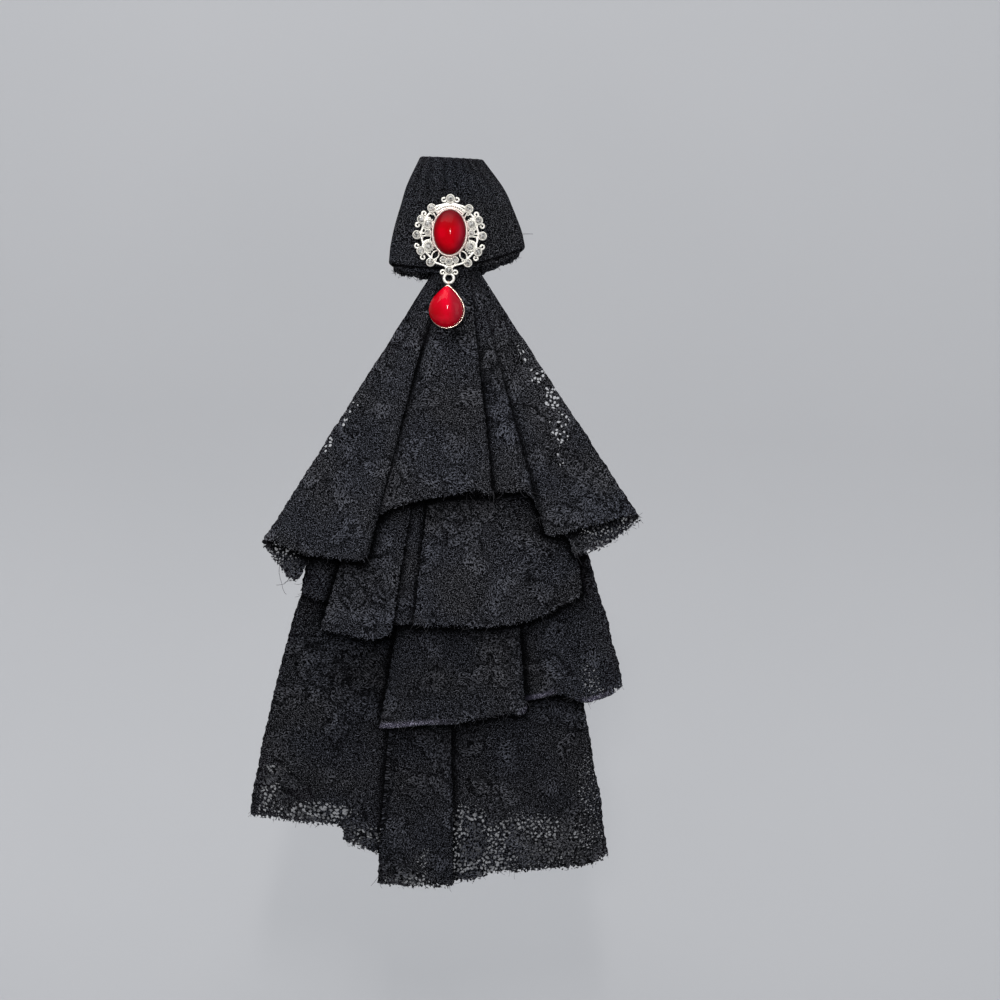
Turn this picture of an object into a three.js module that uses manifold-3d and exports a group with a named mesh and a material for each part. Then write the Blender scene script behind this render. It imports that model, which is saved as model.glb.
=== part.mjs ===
// A worn lace jabot: a folded lace knot, four gathered lace tiers, and a pierced silver brooch
// with a red oval cabochon, clear stones and a red pear drop on a jump ring.
// Millimetres, +Z up, +X to the wearer's left. The front faces -Y, and the origin is the
// middle of the hidden pin that holds the knot to a collar.

import * as THREE from "three";
import { mergeVertices } from "three/addons/utils/BufferGeometryUtils.js";
import Module from "manifold-3d";

const wasm = await Module();
wasm.setup();

// Lace and clearances
const LACE = 1.0; // thickness of a tier at its hem
const GATHERED_LACE = 1.2; // thickness where a tier is gathered
const KNOT_WALL = 1.2; // thickness of the folded lace of the knot
const GAP = 0.3; // clearance between pieces that touch on the real thing
const LINK_GAP = 0.15; // clearance inside a link that holds another

// Hidden pin behind the knot
const PIN_LENGTH = 30;
const PIN_BAR = 1.1;
const PIN_INSIDE = 1.6; // room for collar cloth between bar and needle
const PIN_HEIGHT = 2.4;

// Knot
const KNOT_TOP = 18.8; // height of the top rim
const KNOT_WIDTH = 54; // width at the bottom corners
const KNOT_DROP = 43; // from the top rim to the left bottom corner
const KNOT_DEPTH = 12.6; // front to back at the bottom rim
const KNOT_RIM_SAG = 8.5; // how far the bottom rim hangs below its corners
const KNOT_BACK_DROP = 2; // how far the rear fold shows below the front one
const KNOT_CREASES = 7; // soft gathers across the front
const KNOT_CREASE = 0.35; // depth of a gather at the top rim

// Each section: height as a share of the drop on either side, sides as shares of the
// width from the middle of the gather, and depth as a share of the depth.
const KNOT_SECTIONS = [
  { leftFall: 0.0, rightFall: 0.0, left: -0.322, right: 0.167, depth: 0.52, sag: 0 },
  { leftFall: 0.28, rightFall: 0.27, left: -0.422, right: 0.333, depth: 0.74, sag: 0.05 },
  { leftFall: 0.46, rightFall: 0.45, left: -0.445, right: 0.404, depth: 0.86, sag: 0.1 },
  { leftFall: 0.65, rightFall: 0.63, left: -0.465, right: 0.468, depth: 0.92, sag: 0.25 },
  { leftFall: 0.84, rightFall: 0.74, left: -0.486, right: 0.494, depth: 0.93, sag: 0.6 },
  { leftFall: 1.0, rightFall: 0.8, left: -0.497, right: 0.505, depth: 1.0, sag: 1 },
];

// Gather of the tiers, inside the knot
const GATHER_WIDTH = 12;
const GATHER_X = 3.2; // middle of the gather
const GATHER_Z = -20;
const HEADER = 10; // flat stitched lace above the gather
const TIER_PITCH = 1.7; // front to back, from one header to the next

// Tiers, from the front. Spread and length are sizes, a lean brings a hem forward.
const FOLD_DEPTH = 5.2;
const TIER_1 = { spread: 150, length: 124.4, lean: 13 };
const TIER_2 = { spread: 112, length: 155.8, lean: 8.6 };
const TIER_3 = { spread: 97, length: 191.2, lean: 4.4 };
const TIER_4 = { spread: 146, length: 252.6, lean: 0 };

// Each row is a point of the hem, from left to right along the cloth: across as a share of
// the spread, fall as a share of the length, forward as a share of the fold depth, gather as
// a share of the gather's width, and bow, which swells (+) or hollows (-) the line above it.
const TIER_1_FOLDS = [
  { across: -0.365, fall: 0.995, forward: 0.12, gather: 0.0, bow: 0 },
  { across: -0.405, fall: 1.076, forward: 0.05, gather: 0.01, bow: 0 },
  { across: -0.453, fall: 1.042, forward: 0.3, gather: 0.02, bow: 0 },
  { across: -0.475, fall: 0.953, forward: 0.75, gather: 0.03, bow: 0 },
  { across: -0.361, fall: 0.988, forward: 1.0, gather: 0.05, bow: 0 },
  { across: -0.205, fall: 1.0, forward: 1.0, gather: 0.07, bow: 0 },
  { across: -0.195, fall: 0.99, forward: 0.72, gather: 0.09, bow: 0 },
  { across: -0.268, fall: 0.94, forward: 0.42, gather: 0.13, bow: -0.45 },
  { across: -0.274, fall: 0.9, forward: 0.14, gather: 0.18, bow: -0.5 },
  { across: -0.168, fall: 0.849, forward: 0.28, gather: 0.28, bow: -0.1 },
  { across: -0.107, fall: 0.814, forward: 0.5, gather: 0.38, bow: 0 },
  { across: -0.044, fall: 0.793, forward: 0.62, gather: 0.5, bow: 0 },
  { across: 0.025, fall: 0.777, forward: 0.75, gather: 0.62, bow: 0 },
  { across: 0.079, fall: 0.76, forward: 0.92, gather: 0.75, bow: 0 },
  { across: 0.129, fall: 0.773, forward: 0.92, gather: 0.86, bow: 0 },
  { across: 0.134, fall: 0.77, forward: 0.64, gather: 0.875, bow: 0 },
  { across: 0.066, fall: 0.772, forward: 0.38, gather: 0.89, bow: -0.45 },
  { across: 0.062, fall: 0.768, forward: 0.1, gather: 0.905, bow: -0.5 },
  { across: 0.152, fall: 0.76, forward: 0.22, gather: 0.92, bow: -0.1 },
  { across: 0.225, fall: 0.754, forward: 0.5, gather: 0.935, bow: 0 },
  { across: 0.258, fall: 0.765, forward: 0.5, gather: 0.945, bow: 0 },
  { across: 0.226, fall: 0.812, forward: 0.12, gather: 0.955, bow: -0.2 },
  { across: 0.273, fall: 0.89, forward: 0.06, gather: 0.965, bow: 0 },
  { across: 0.368, fall: 0.864, forward: 0.45, gather: 0.975, bow: 0 },
  { across: 0.512, fall: 0.808, forward: 0.75, gather: 0.985, bow: 0 },
  { across: 0.525, fall: 0.816, forward: 0.5, gather: 0.99, bow: 0 },
  { across: 0.457, fall: 0.9, forward: 0.12, gather: 0.995, bow: 0 },
  { across: 0.359, fall: 0.957, forward: 0.1, gather: 1.0, bow: 0 },
];

const TIER_2_FOLDS = [
  { across: -0.448, fall: 0.835, forward: 0.1, gather: 0.0, bow: 0.6 },
  { across: -0.494, fall: 0.886, forward: 0.2, gather: 0.02, bow: 0.7 },
  { across: -0.404, fall: 0.913, forward: 0.05, gather: 0.05, bow: 0.6 },
  { across: -0.314, fall: 0.937, forward: 0.05, gather: 0.1, bow: 0.1 },
  { across: -0.292, fall: 0.947, forward: 0.28, gather: 0.12, bow: 0 },
  { across: -0.323, fall: 0.96, forward: 0.5, gather: 0.14, bow: 0 },
  { across: -0.404, fall: 0.972, forward: 0.53, gather: 0.16, bow: 0.1 },
  { across: -0.418, fall: 0.979, forward: 0.8, gather: 0.17, bow: 0.15 },
  { across: -0.308, fall: 0.993, forward: 1.0, gather: 0.2, bow: 0 },
  { across: -0.221, fall: 1.0, forward: 1.0, gather: 0.23, bow: 0 },
  { across: -0.164, fall: 0.982, forward: 0.8, gather: 0.25, bow: 0 },
  { across: -0.18, fall: 0.966, forward: 0.55, gather: 0.27, bow: -0.1 },
  { across: -0.243, fall: 0.953, forward: 0.42, gather: 0.29, bow: -0.3 },
  { across: -0.228, fall: 0.953, forward: 0.16, gather: 0.32, bow: -0.3 },
  { across: -0.1, fall: 0.96, forward: 0.1, gather: 0.37, bow: 0 },
  { across: -0.011, fall: 0.96, forward: 0.06, gather: 0.42, bow: 0 },
  { across: 0.007, fall: 0.96, forward: 0.27, gather: 0.43, bow: 0 },
  { across: -0.029, fall: 0.96, forward: 0.47, gather: 0.435, bow: 0 },
  { across: -0.073, fall: 0.961, forward: 0.5, gather: 0.44, bow: 0 },
  { across: -0.085, fall: 0.961, forward: 0.75, gather: 0.45, bow: 0 },
  { across: 0.012, fall: 0.958, forward: 0.95, gather: 0.55, bow: 0 },
  { across: 0.204, fall: 0.951, forward: 1.0, gather: 0.72, bow: 0 },
  { across: 0.306, fall: 0.937, forward: 0.85, gather: 0.84, bow: 0 },
  { across: 0.382, fall: 0.915, forward: 0.5, gather: 0.9, bow: 0.3 },
  { across: 0.421, fall: 0.899, forward: 0.35, gather: 0.93, bow: 0.4 },
  { across: 0.48, fall: 0.876, forward: 0.55, gather: 0.97, bow: 0.6 },
  { across: 0.512, fall: 0.859, forward: 0.4, gather: 1.0, bow: 0.7 },
];

const TIER_3_FOLDS = [
  { across: -0.054, fall: 0.973, forward: 0.1, gather: 0.0, bow: -0.2 },
  { across: -0.177, fall: 0.994, forward: 0.15, gather: 0.03, bow: -0.4 },
  { across: -0.221, fall: 1.0, forward: 0.5, gather: 0.06, bow: -0.5 },
  { across: -0.177, fall: 0.999, forward: 0.85, gather: 0.1, bow: -0.4 },
  { across: -0.097, fall: 0.993, forward: 1.0, gather: 0.18, bow: -0.2 },
  { across: -0.018, fall: 0.988, forward: 0.78, gather: 0.27, bow: 0 },
  { across: 0.059, fall: 0.986, forward: 0.6, gather: 0.36, bow: 0 },
  { across: 0.122, fall: 0.981, forward: 0.82, gather: 0.45, bow: 0 },
  { across: 0.181, fall: 0.975, forward: 1.0, gather: 0.53, bow: 0 },
  { across: 0.287, fall: 0.962, forward: 0.95, gather: 0.64, bow: 0.1 },
  { across: 0.381, fall: 0.953, forward: 0.8, gather: 0.74, bow: 0.3 },
  { across: 0.39, fall: 0.944, forward: 0.52, gather: 0.76, bow: 0.3 },
  { across: 0.287, fall: 0.936, forward: 0.32, gather: 0.78, bow: -0.2 },
  { across: 0.271, fall: 0.934, forward: 0.08, gather: 0.8, bow: -0.3 },
  { across: 0.359, fall: 0.931, forward: 0.05, gather: 0.84, bow: 0.2 },
  { across: 0.431, fall: 0.923, forward: 0.2, gather: 0.87, bow: 0.3 },
  { across: 0.513, fall: 0.91, forward: 0.45, gather: 0.9, bow: 0.3 },
  { across: 0.586, fall: 0.922, forward: 0.4, gather: 0.93, bow: 0.3 },
  { across: 0.647, fall: 0.923, forward: 0.5, gather: 0.95, bow: 0.3 },
  { across: 0.776, fall: 0.892, forward: 0.55, gather: 0.98, bow: 0.3 },
  { across: 0.781, fall: 0.881, forward: 0.3, gather: 0.99, bow: 0.3 },
  { across: 0.689, fall: 0.889, forward: 0.05, gather: 1.0, bow: 0.3 },
];

const TIER_4_FOLDS = [
  { across: -0.474, fall: 0.899, forward: 0.05, gather: 0.0, bow: 0.65 },
  { across: -0.495, fall: 0.901, forward: 0.3, gather: 0.02, bow: 0.65 },
  { across: -0.433, fall: 0.904, forward: 0.6, gather: 0.06, bow: 0.6 },
  { across: -0.363, fall: 0.908, forward: 0.75, gather: 0.1, bow: 0.5 },
  { across: -0.282, fall: 0.91, forward: 0.5, gather: 0.16, bow: 0.4 },
  { across: -0.234, fall: 0.913, forward: 0.3, gather: 0.2, bow: 0.3 },
  { across: -0.2, fall: 0.934, forward: 0.12, gather: 0.24, bow: 0.1 },
  { across: -0.156, fall: 0.949, forward: 0.08, gather: 0.29, bow: 0 },
  { across: -0.09, fall: 0.966, forward: 0.05, gather: 0.34, bow: -0.2 },
  { across: -0.073, fall: 0.978, forward: 0.24, gather: 0.36, bow: -0.1 },
  { across: -0.097, fall: 0.99, forward: 0.42, gather: 0.37, bow: 0.2 },
  { across: -0.132, fall: 0.998, forward: 0.62, gather: 0.38, bow: 0.9 },
  { across: -0.084, fall: 1.0, forward: 0.95, gather: 0.42, bow: 0.5 },
  { across: -0.036, fall: 1.0, forward: 1.0, gather: 0.48, bow: 0.1 },
  { across: 0.026, fall: 0.998, forward: 1.0, gather: 0.56, bow: 0 },
  { across: 0.076, fall: 0.996, forward: 0.88, gather: 0.63, bow: -0.8 },
  { across: 0.081, fall: 0.994, forward: 0.62, gather: 0.645, bow: -0.8 },
  { across: 0.019, fall: 0.992, forward: 0.4, gather: 0.66, bow: -0.9 },
  { across: 0.009, fall: 0.99, forward: 0.14, gather: 0.675, bow: -0.9 },
  { across: 0.074, fall: 0.99, forward: 0.08, gather: 0.7, bow: -0.4 },
  { across: 0.129, fall: 0.988, forward: 0.24, gather: 0.74, bow: 0 },
  { across: 0.192, fall: 0.973, forward: 0.5, gather: 0.8, bow: 0.2 },
  { across: 0.265, fall: 0.968, forward: 0.7, gather: 0.86, bow: 0.3 },
  { across: 0.341, fall: 0.962, forward: 0.55, gather: 0.91, bow: 0.35 },
  { across: 0.41, fall: 0.959, forward: 0.4, gather: 0.95, bow: 0.35 },
  { across: 0.471, fall: 0.948, forward: 0.6, gather: 0.98, bow: 0.35 },
  { across: 0.506, fall: 0.935, forward: 0.5, gather: 0.995, bow: 0.35 },
  { across: 0.499, fall: 0.928, forward: 0.2, gather: 1.0, bow: 0.35 },
];

// How the cloth is divided: points of the hem between two rows, and levels down from the gather.
const STEPS_PER_FOLD = 2;
const LEVELS = [0, 0.12, 0.3, 0.52, 0.77, 1];
const FOLD_ONSET = 0.7; // power by which folds deepen below the gather

// Brooch: an oval frame of round cups
const BROOCH_Z = -11.4; // middle of the frame
const BROOCH_TILT = THREE.MathUtils.degToRad(1.8); // out of plumb, foot towards +X
const CUP_OVAL = { x: 13.2, y: 14.5 }; // half sizes of the oval on which the outer cups stand
const PLATE = 1.0; // thickness of the pierced plate
const BROOCH_SEAT = 0.93; // share of the knot's depth where the cabochon's seat rests on it
const RIM_WIRE = 0.75; // width of the oval rim inside the outer cups
const RIB = 0.8; // width of a rib from the bezel to a cup
const STONE = 1.25; // radius of an outer stone
const CUP_WALL = 0.3;
const CUP_HEIGHT = 2.0; // above the plate's back
const STONE_HEIGHT = 1.5;

// Outer cups of one half, by the angle on the cup oval and the share of its half sizes
const OUTER_CUPS = [
  { angle: 90, reach: 1.0, mirrored: false },
  { angle: 51.9, reach: 0.92, mirrored: true },
  { angle: 25.0, reach: 0.96, mirrored: true },
  { angle: -1.4, reach: 1.0, mirrored: true },
  { angle: -28.2, reach: 0.984, mirrored: true },
  { angle: -53.8, reach: 0.962, mirrored: true },
  { angle: -90, reach: 1.0, mirrored: false },
];

// Inner cups of one half: place as shares of the cup oval, and size as a share of a stone's radius
const INNER_CUPS = [
  { x: 0.655, y: 0.29, size: 1.08, mirrored: true },
  { x: 0.665, y: 0.05, size: 0.7, mirrored: true },
  { x: 0.63, y: -0.33, size: 1.08, mirrored: true },
  { x: 0.185, y: -0.7, size: 0.72, mirrored: true },
  { x: 0.0, y: -0.745, size: 0.78, mirrored: false },
];

// Scroll curls of one half: the outer cup (a row above) that each springs from, the direction
// from that cup, and which way round it curls
const CURLS = [
  { cup: 0, direction: -11, turn: 1 },
  { cup: 2, direction: 109, turn: 1 },
  { cup: 2, direction: -53, turn: -1 },
  { cup: 4, direction: 48, turn: 1 },
  { cup: 4, direction: -105, turn: -1 },
  { cup: 6, direction: -10, turn: -1 },
];
const CURL_RADIUS = 1.0;
const CURL_WIRE = 0.34; // radius of the wire
const WIRE_SIDES = 5;
const CURL_STEPS = 6;
const CURL_SWEEP = 250;
const CREST_SPAN = 62; // degrees of the beaded crest over the cabochon
const CREST_WIRE = 0.5;

// Cabochon and its bezel, a little above the middle of the frame
const CABOCHON = { x: 6.5, y: 9.0, height: 5.0, girdle: 1.0 };
const CABOCHON_RISE = 0.8;
const BEZEL_WALL = 0.65;
const BEZEL_HEIGHT = 2.7;

// Loop under the frame, jump ring and pear drop
const LOOP_DROP = 17.45; // from the middle of the frame to the middle of the loop
const LOOP_RADIUS = 1.95;
const LOOP_WIRE = 0.45;
const RING_RADIUS = 1.5;
const RING_WIRE = 0.3;
const EYE_RADIUS = 1.2;
const EYE_WIRE = 0.3;
const PEAR_RADIUS = 7.2;
const PEAR_LENGTH = 17.6; // tip to foot
const PEAR_TIP = 1.05; // how far the tip stands above the lowest wire of the ring
const PEAR_WALL = 0.6;
const PEAR_FLOOR = 0.5;
const PEAR_CUP = 2.4; // depth of the setting
const PEAR_STONE = 4.6; // depth of the stone

const half = (n) => n / 2;
const radians = THREE.MathUtils.degToRad;

const finishes = {
  lace: { color: 0x17171b, roughness: 0.9, metalness: 0.0 },
  silver: { color: 0xd9d7d0, roughness: 0.25, metalness: 1.0 },
  rose_metal: { color: 0xc99a86, roughness: 0.3, metalness: 1.0 },
  clear_stone: { color: 0xf2f2ee, roughness: 0.05, metalness: 0.0 },
  red_stone: { color: 0xb3061a, roughness: 0.08, metalness: 0.0 },
};

function piece(name, geometry, finish) {
  const mesh = new THREE.Mesh(geometry, new THREE.MeshStandardMaterial(finishes[finish]));
  mesh.name = name;
  return mesh;
}

// A geometry with only positions, its shared corners merged and its faces pointing out
function closed(geometry) {
  const bare = geometry.clone();
  bare.deleteAttribute("normal");
  bare.deleteAttribute("uv");
  const merged = mergeVertices(bare, 1e-4);
  const place = merged.attributes.position;
  const index = merged.index.array;
  const [a, b, c] = [new THREE.Vector3(), new THREE.Vector3(), new THREE.Vector3()];
  let volume = 0;
  const kept = [];
  for (let i = 0; i < index.length; i += 3) {
    const corners = [index[i], index[i + 1], index[i + 2]];
    if (new Set(corners).size < 3) continue;
    kept.push(...corners);
    a.fromBufferAttribute(place, corners[0]);
    b.fromBufferAttribute(place, corners[1]);
    c.fromBufferAttribute(place, corners[2]);
    volume += a.dot(b.clone().cross(c));
  }
  if (volume < 0) kept.reverse();
  merged.setIndex(kept);
  return merged;
}

function toManifold(geometry) {
  const shape = closed(geometry);
  const vertProperties = new Float32Array(shape.attributes.position.array);
  const triVerts = new Uint32Array(shape.index.array);
  return new wasm.Manifold(new wasm.Mesh({ numProp: 3, vertProperties, triVerts }));
}

function fromManifold(solid) {
  const mesh = solid.getMesh();
  const geometry = new THREE.BufferGeometry();
  geometry.setAttribute("position", new THREE.BufferAttribute(mesh.vertProperties, 3));
  geometry.setIndex(new THREE.BufferAttribute(mesh.triVerts, 1));
  return geometry;
}

function joined(geometries) {
  return fromManifold(geometries.map(toManifold).reduce((whole, next) => whole.add(next)));
}

// Collects corners and faces of a mesh made by hand
class Shell {
  constructor() {
    this.corners = [];
    this.faces = [];
  }
  corner(point) {
    this.corners.push(point.x, point.y, point.z);
    return this.corners.length / 3 - 1;
  }
  face(a, b, c, d) {
    this.faces.push(a, b, c, a, c, d);
  }
  geometry() {
    const geometry = new THREE.BufferGeometry();
    geometry.setAttribute("position", new THREE.Float32BufferAttribute(this.corners, 3));
    geometry.setIndex(this.faces);
    return geometry;
  }
}

// Cloth of a tier

// Where the header of a tier lies, front to back; the last tier is next to the knot's back wall
function headerY(place) {
  const last = KNOT_BACK - KNOT_WALL - GAP - half(GATHERED_LACE);
  return last - (TIERS.length - 1 - place) * TIER_PITCH;
}

function tierPoint(tier, place, row, level) {
  const gatherX = GATHER_X + (row.gather - 0.5) * GATHER_WIDTH;
  const hemX = GATHER_X + row.across * tier.size.spread;
  const spread = level + row.bow * level * (1 - level);
  const folds = FOLD_DEPTH * row.forward * Math.pow(level, FOLD_ONSET);
  return new THREE.Vector3(
    gatherX + (hemX - gatherX) * spread,
    headerY(place) - tier.size.lean * level - folds,
    GATHER_Z - row.fall * tier.size.length * level,
  );
}

function alongHem(points) {
  const curve = new THREE.CatmullRomCurve3(points, false, "centripetal");
  const steps = (points.length - 1) * STEPS_PER_FOLD;
  return Array.from({ length: steps + 1 }, (_, i) => curve.getPoint(i / steps));
}

function tierGeometry(tier, place) {
  const levels = LEVELS.map((level) =>
    alongHem(tier.folds.map((row) => tierPoint(tier, place, row, level))),
  );
  const header = levels[0].map((point) => point.clone().setZ(GATHER_Z + HEADER));
  const middle = [header, ...levels];
  const columns = header.length;
  const last = middle.length - 1;
  const shell = new Shell();
  const front = [];
  const back = [];
  for (let j = 0; j <= last; j++) {
    front.push([]);
    back.push([]);
    const share = Math.max(0, (j - 1) / (last - 1));
    const thickness = GATHERED_LACE + (LACE - GATHERED_LACE) * share;
    for (let i = 0; i < columns; i++) {
      const along = middle[j][Math.min(i + 1, columns - 1)].clone();
      along.sub(middle[j][Math.max(i - 1, 0)]);
      const down = middle[Math.min(j + 1, last)][i].clone();
      down.sub(middle[Math.max(j - 1, 0)][i]);
      const normal = down.cross(along).normalize().multiplyScalar(half(thickness));
      front[j].push(shell.corner(middle[j][i].clone().add(normal)));
      back[j].push(shell.corner(middle[j][i].clone().sub(normal)));
    }
  }
  for (let i = 0; i < columns - 1; i++) {
    for (let j = 0; j < last; j++) {
      shell.face(front[j][i], front[j + 1][i], front[j + 1][i + 1], front[j][i + 1]);
      shell.face(back[j][i], back[j][i + 1], back[j + 1][i + 1], back[j + 1][i]);
    }
    shell.face(front[0][i], front[0][i + 1], back[0][i + 1], back[0][i]);
    shell.face(front[last][i + 1], front[last][i], back[last][i], back[last][i + 1]);
  }
  const end = columns - 1;
  for (let j = 0; j < last; j++) {
    shell.face(front[j][0], back[j][0], back[j + 1][0], front[j + 1][0]);
    shell.face(back[j][end], front[j][end], front[j + 1][end], back[j + 1][end]);
  }
  return shell.geometry();
}

// Knot: a flattened tube of folded lace, open above and below

const KNOT_BACK = -half(PIN_INSIDE) - PIN_BAR - GAP;
const KNOT_POINTS = 36;
const KNOT_SQUARENESS = 3;

function knotPoint(section, angle, inset) {
  const squared = (n) => Math.sign(n) * Math.pow(Math.abs(n), 2 / KNOT_SQUARENESS);
  const left = GATHER_X + section.left * KNOT_WIDTH + inset;
  const right = GATHER_X + section.right * KNOT_WIDTH - inset;
  const depth = section.depth * KNOT_DEPTH - 2 * inset;
  const x = half(left + right) + half(right - left) * squared(Math.cos(angle));
  const forward = -Math.sin(angle);
  const share = (x - left) / (right - left);
  const arch = Math.pow(Math.max(0, Math.sin(Math.PI * share)), 0.8);
  const fallen = section.leftFall + (section.rightFall - section.leftFall) * share;
  const rear = half(1 - forward) * KNOT_BACK_DROP * section.sag;
  const fade = (1 - section.sag) * Math.max(0, forward);
  const crease = KNOT_CREASE * fade * half(1 - Math.cos(2 * Math.PI * KNOT_CREASES * share));
  return new THREE.Vector3(
    x,
    KNOT_BACK - inset - half(depth) * (1 + squared(forward)) + crease,
    KNOT_TOP - fallen * KNOT_DROP - KNOT_RIM_SAG * section.sag * arch - rear,
  );
}

function knotGeometry() {
  const shell = new Shell();
  const around = Array.from({ length: KNOT_POINTS }, (_, k) => (2 * Math.PI * k) / KNOT_POINTS);
  const wall = (inset) =>
    KNOT_SECTIONS.map((section) => around.map((a) => shell.corner(knotPoint(section, a, inset))));
  const outer = wall(0);
  const inner = wall(KNOT_WALL);
  const last = outer.length - 1;
  for (let k = 0; k < KNOT_POINTS; k++) {
    const n = (k + 1) % KNOT_POINTS;
    for (let l = 0; l < last; l++) {
      shell.face(outer[l][k], outer[l + 1][k], outer[l + 1][n], outer[l][n]);
      shell.face(inner[l][k], inner[l][n], inner[l + 1][n], inner[l + 1][k]);
    }
    shell.face(outer[0][k], outer[0][n], inner[0][n], inner[0][k]);
    shell.face(outer[last][n], outer[last][k], inner[last][k], inner[last][n]);
  }
  return shell.geometry();
}

// Hidden pin: a flat bar and a needle joined at both ends, with room for collar cloth between

function pinGeometry() {
  const depth = PIN_INSIDE + 2 * PIN_BAR;
  const outline = roundedBar(PIN_LENGTH, depth);
  outline.holes.push(roundedBar(PIN_LENGTH - 2 * PIN_BAR, PIN_INSIDE));
  const settings = { depth: PIN_HEIGHT, bevelEnabled: false, curveSegments: 4 };
  return new THREE.ExtrudeGeometry(outline, settings).translate(0, 0, -half(PIN_HEIGHT));
}

function roundedBar(length, width) {
  const shape = new THREE.Shape();
  const radius = half(width);
  const straight = half(length) - radius;
  shape.absarc(straight, 0, radius, -Math.PI / 2, Math.PI / 2, false);
  shape.absarc(-straight, 0, radius, Math.PI / 2, (3 * Math.PI) / 2, false);
  return shape;
}

// Brooch, in its own frame: X across, Y up and Z towards the front, from the plate's back

const OVAL_STEPS = 14;

function oval(x, y, from, to, hole) {
  const shape = new THREE.Shape();
  shape.absellipse(0, 0, x, y, 0, 2 * Math.PI, false, 0);
  if (hole) {
    const inside = new THREE.Path();
    inside.absellipse(0, 0, hole.x, hole.y, 0, 2 * Math.PI, true, 0);
    shape.holes.push(inside);
  }
  const settings = { depth: to - from, bevelEnabled: false, curveSegments: OVAL_STEPS };
  return new THREE.ExtrudeGeometry(shape, settings).translate(0, 0, from);
}

// A turned shape with its axis along Z, from a profile of radius and height
function turned(profile, sides) {
  const points = profile.map(([radius, height]) => new THREE.Vector2(radius, height));
  return new THREE.LatheGeometry(points, sides).rotateX(Math.PI / 2);
}

function wire(points, radius) {
  const corners = Array.from({ length: WIRE_SIDES }, (_, i) => {
    const angle = (2 * Math.PI * i) / WIRE_SIDES;
    return new THREE.Vector2(radius * Math.cos(angle), radius * Math.sin(angle));
  });
  const path = new THREE.CatmullRomCurve3(points);
  const settings = { steps: points.length - 1, extrudePath: path };
  return new THREE.ExtrudeGeometry(new THREE.Shape(corners), settings);
}

function outerPlace(cup) {
  const angle = radians(cup.angle);
  return {
    x: CUP_OVAL.x * cup.reach * Math.cos(angle),
    y: CUP_OVAL.y * cup.reach * Math.sin(angle),
    stone: STONE,
    mirrored: cup.mirrored,
  };
}

function innerPlace(cup) {
  return {
    x: CUP_OVAL.x * cup.x,
    y: CUP_OVAL.y * cup.y,
    stone: STONE * cup.size,
    mirrored: cup.mirrored,
  };
}

function bothSides(places) {
  return places.flatMap((p) => (p.mirrored ? [{ ...p, x: -p.x }, p] : [p]));
}

const outerCups = bothSides(OUTER_CUPS.map(outerPlace));
const innerCups = bothSides(INNER_CUPS.map(innerPlace));
const CUP_SIDES = 8;

const cupInside = (stone) => stone + LINK_GAP + 0.04;
const cupOutside = (stone) => cupInside(stone) + CUP_WALL;

function cupGeometry({ x, y, stone }) {
  const floor = CUP_HEIGHT - STONE_HEIGHT * 0.6 - GAP;
  const profile = [
    [0, 0],
    [cupOutside(stone), 0],
    [cupOutside(stone), CUP_HEIGHT],
    [cupInside(stone), CUP_HEIGHT],
    [cupInside(stone), floor],
    [0, floor],
  ];
  return turned(profile, CUP_SIDES).translate(x, y, 0);
}

function ribGeometry({ x, y, stone }) {
  const reach = Math.hypot(x, y - CABOCHON_RISE);
  const from = reach * 0.62;
  const length = reach - cupOutside(stone) + CUP_WALL - from;
  return new THREE.BoxGeometry(length, RIB, PLATE)
    .translate(from + half(length), 0, half(PLATE))
    .rotateZ(Math.atan2(y - CABOCHON_RISE, x))
    .translate(0, CABOCHON_RISE, 0);
}

function curlGeometry(curl, side) {
  const cup = outerPlace(OUTER_CUPS[curl.cup]);
  const away = radians(curl.direction);
  const distance = cupOutside(STONE) + CURL_RADIUS + CURL_WIRE * 0.4;
  const middle = { x: cup.x + distance * Math.cos(away), y: cup.y + distance * Math.sin(away) };
  const points = Array.from({ length: CURL_STEPS + 1 }, (_, i) => {
    const angle = away + Math.PI + curl.turn * radians((CURL_SWEEP * i) / CURL_STEPS);
    const radius = CURL_RADIUS * (1 - (0.35 * i) / CURL_STEPS);
    return new THREE.Vector3(
      side * (middle.x + radius * Math.cos(angle)),
      middle.y + radius * Math.sin(angle),
      half(PLATE),
    );
  });
  return wire(points, CURL_WIRE);
}

function crestGeometry() {
  const rim = rimHalf();
  const steps = 6;
  const points = Array.from({ length: steps + 1 }, (_, i) => {
    const angle = radians(90 + CREST_SPAN * (i / steps - 0.5));
    return new THREE.Vector3(
      (rim.x - RIM_WIRE - half(CREST_WIRE)) * Math.cos(angle),
      (rim.y - RIM_WIRE - half(CREST_WIRE)) * Math.sin(angle),
      PLATE,
    );
  });
  return wire(points, CREST_WIRE);
}

// The rim runs just inside the outer cups
function rimHalf() {
  const inward = cupOutside(STONE) - half(CUP_WALL);
  return { x: CUP_OVAL.x * 0.985 - inward, y: CUP_OVAL.y * 0.985 - inward };
}

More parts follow.
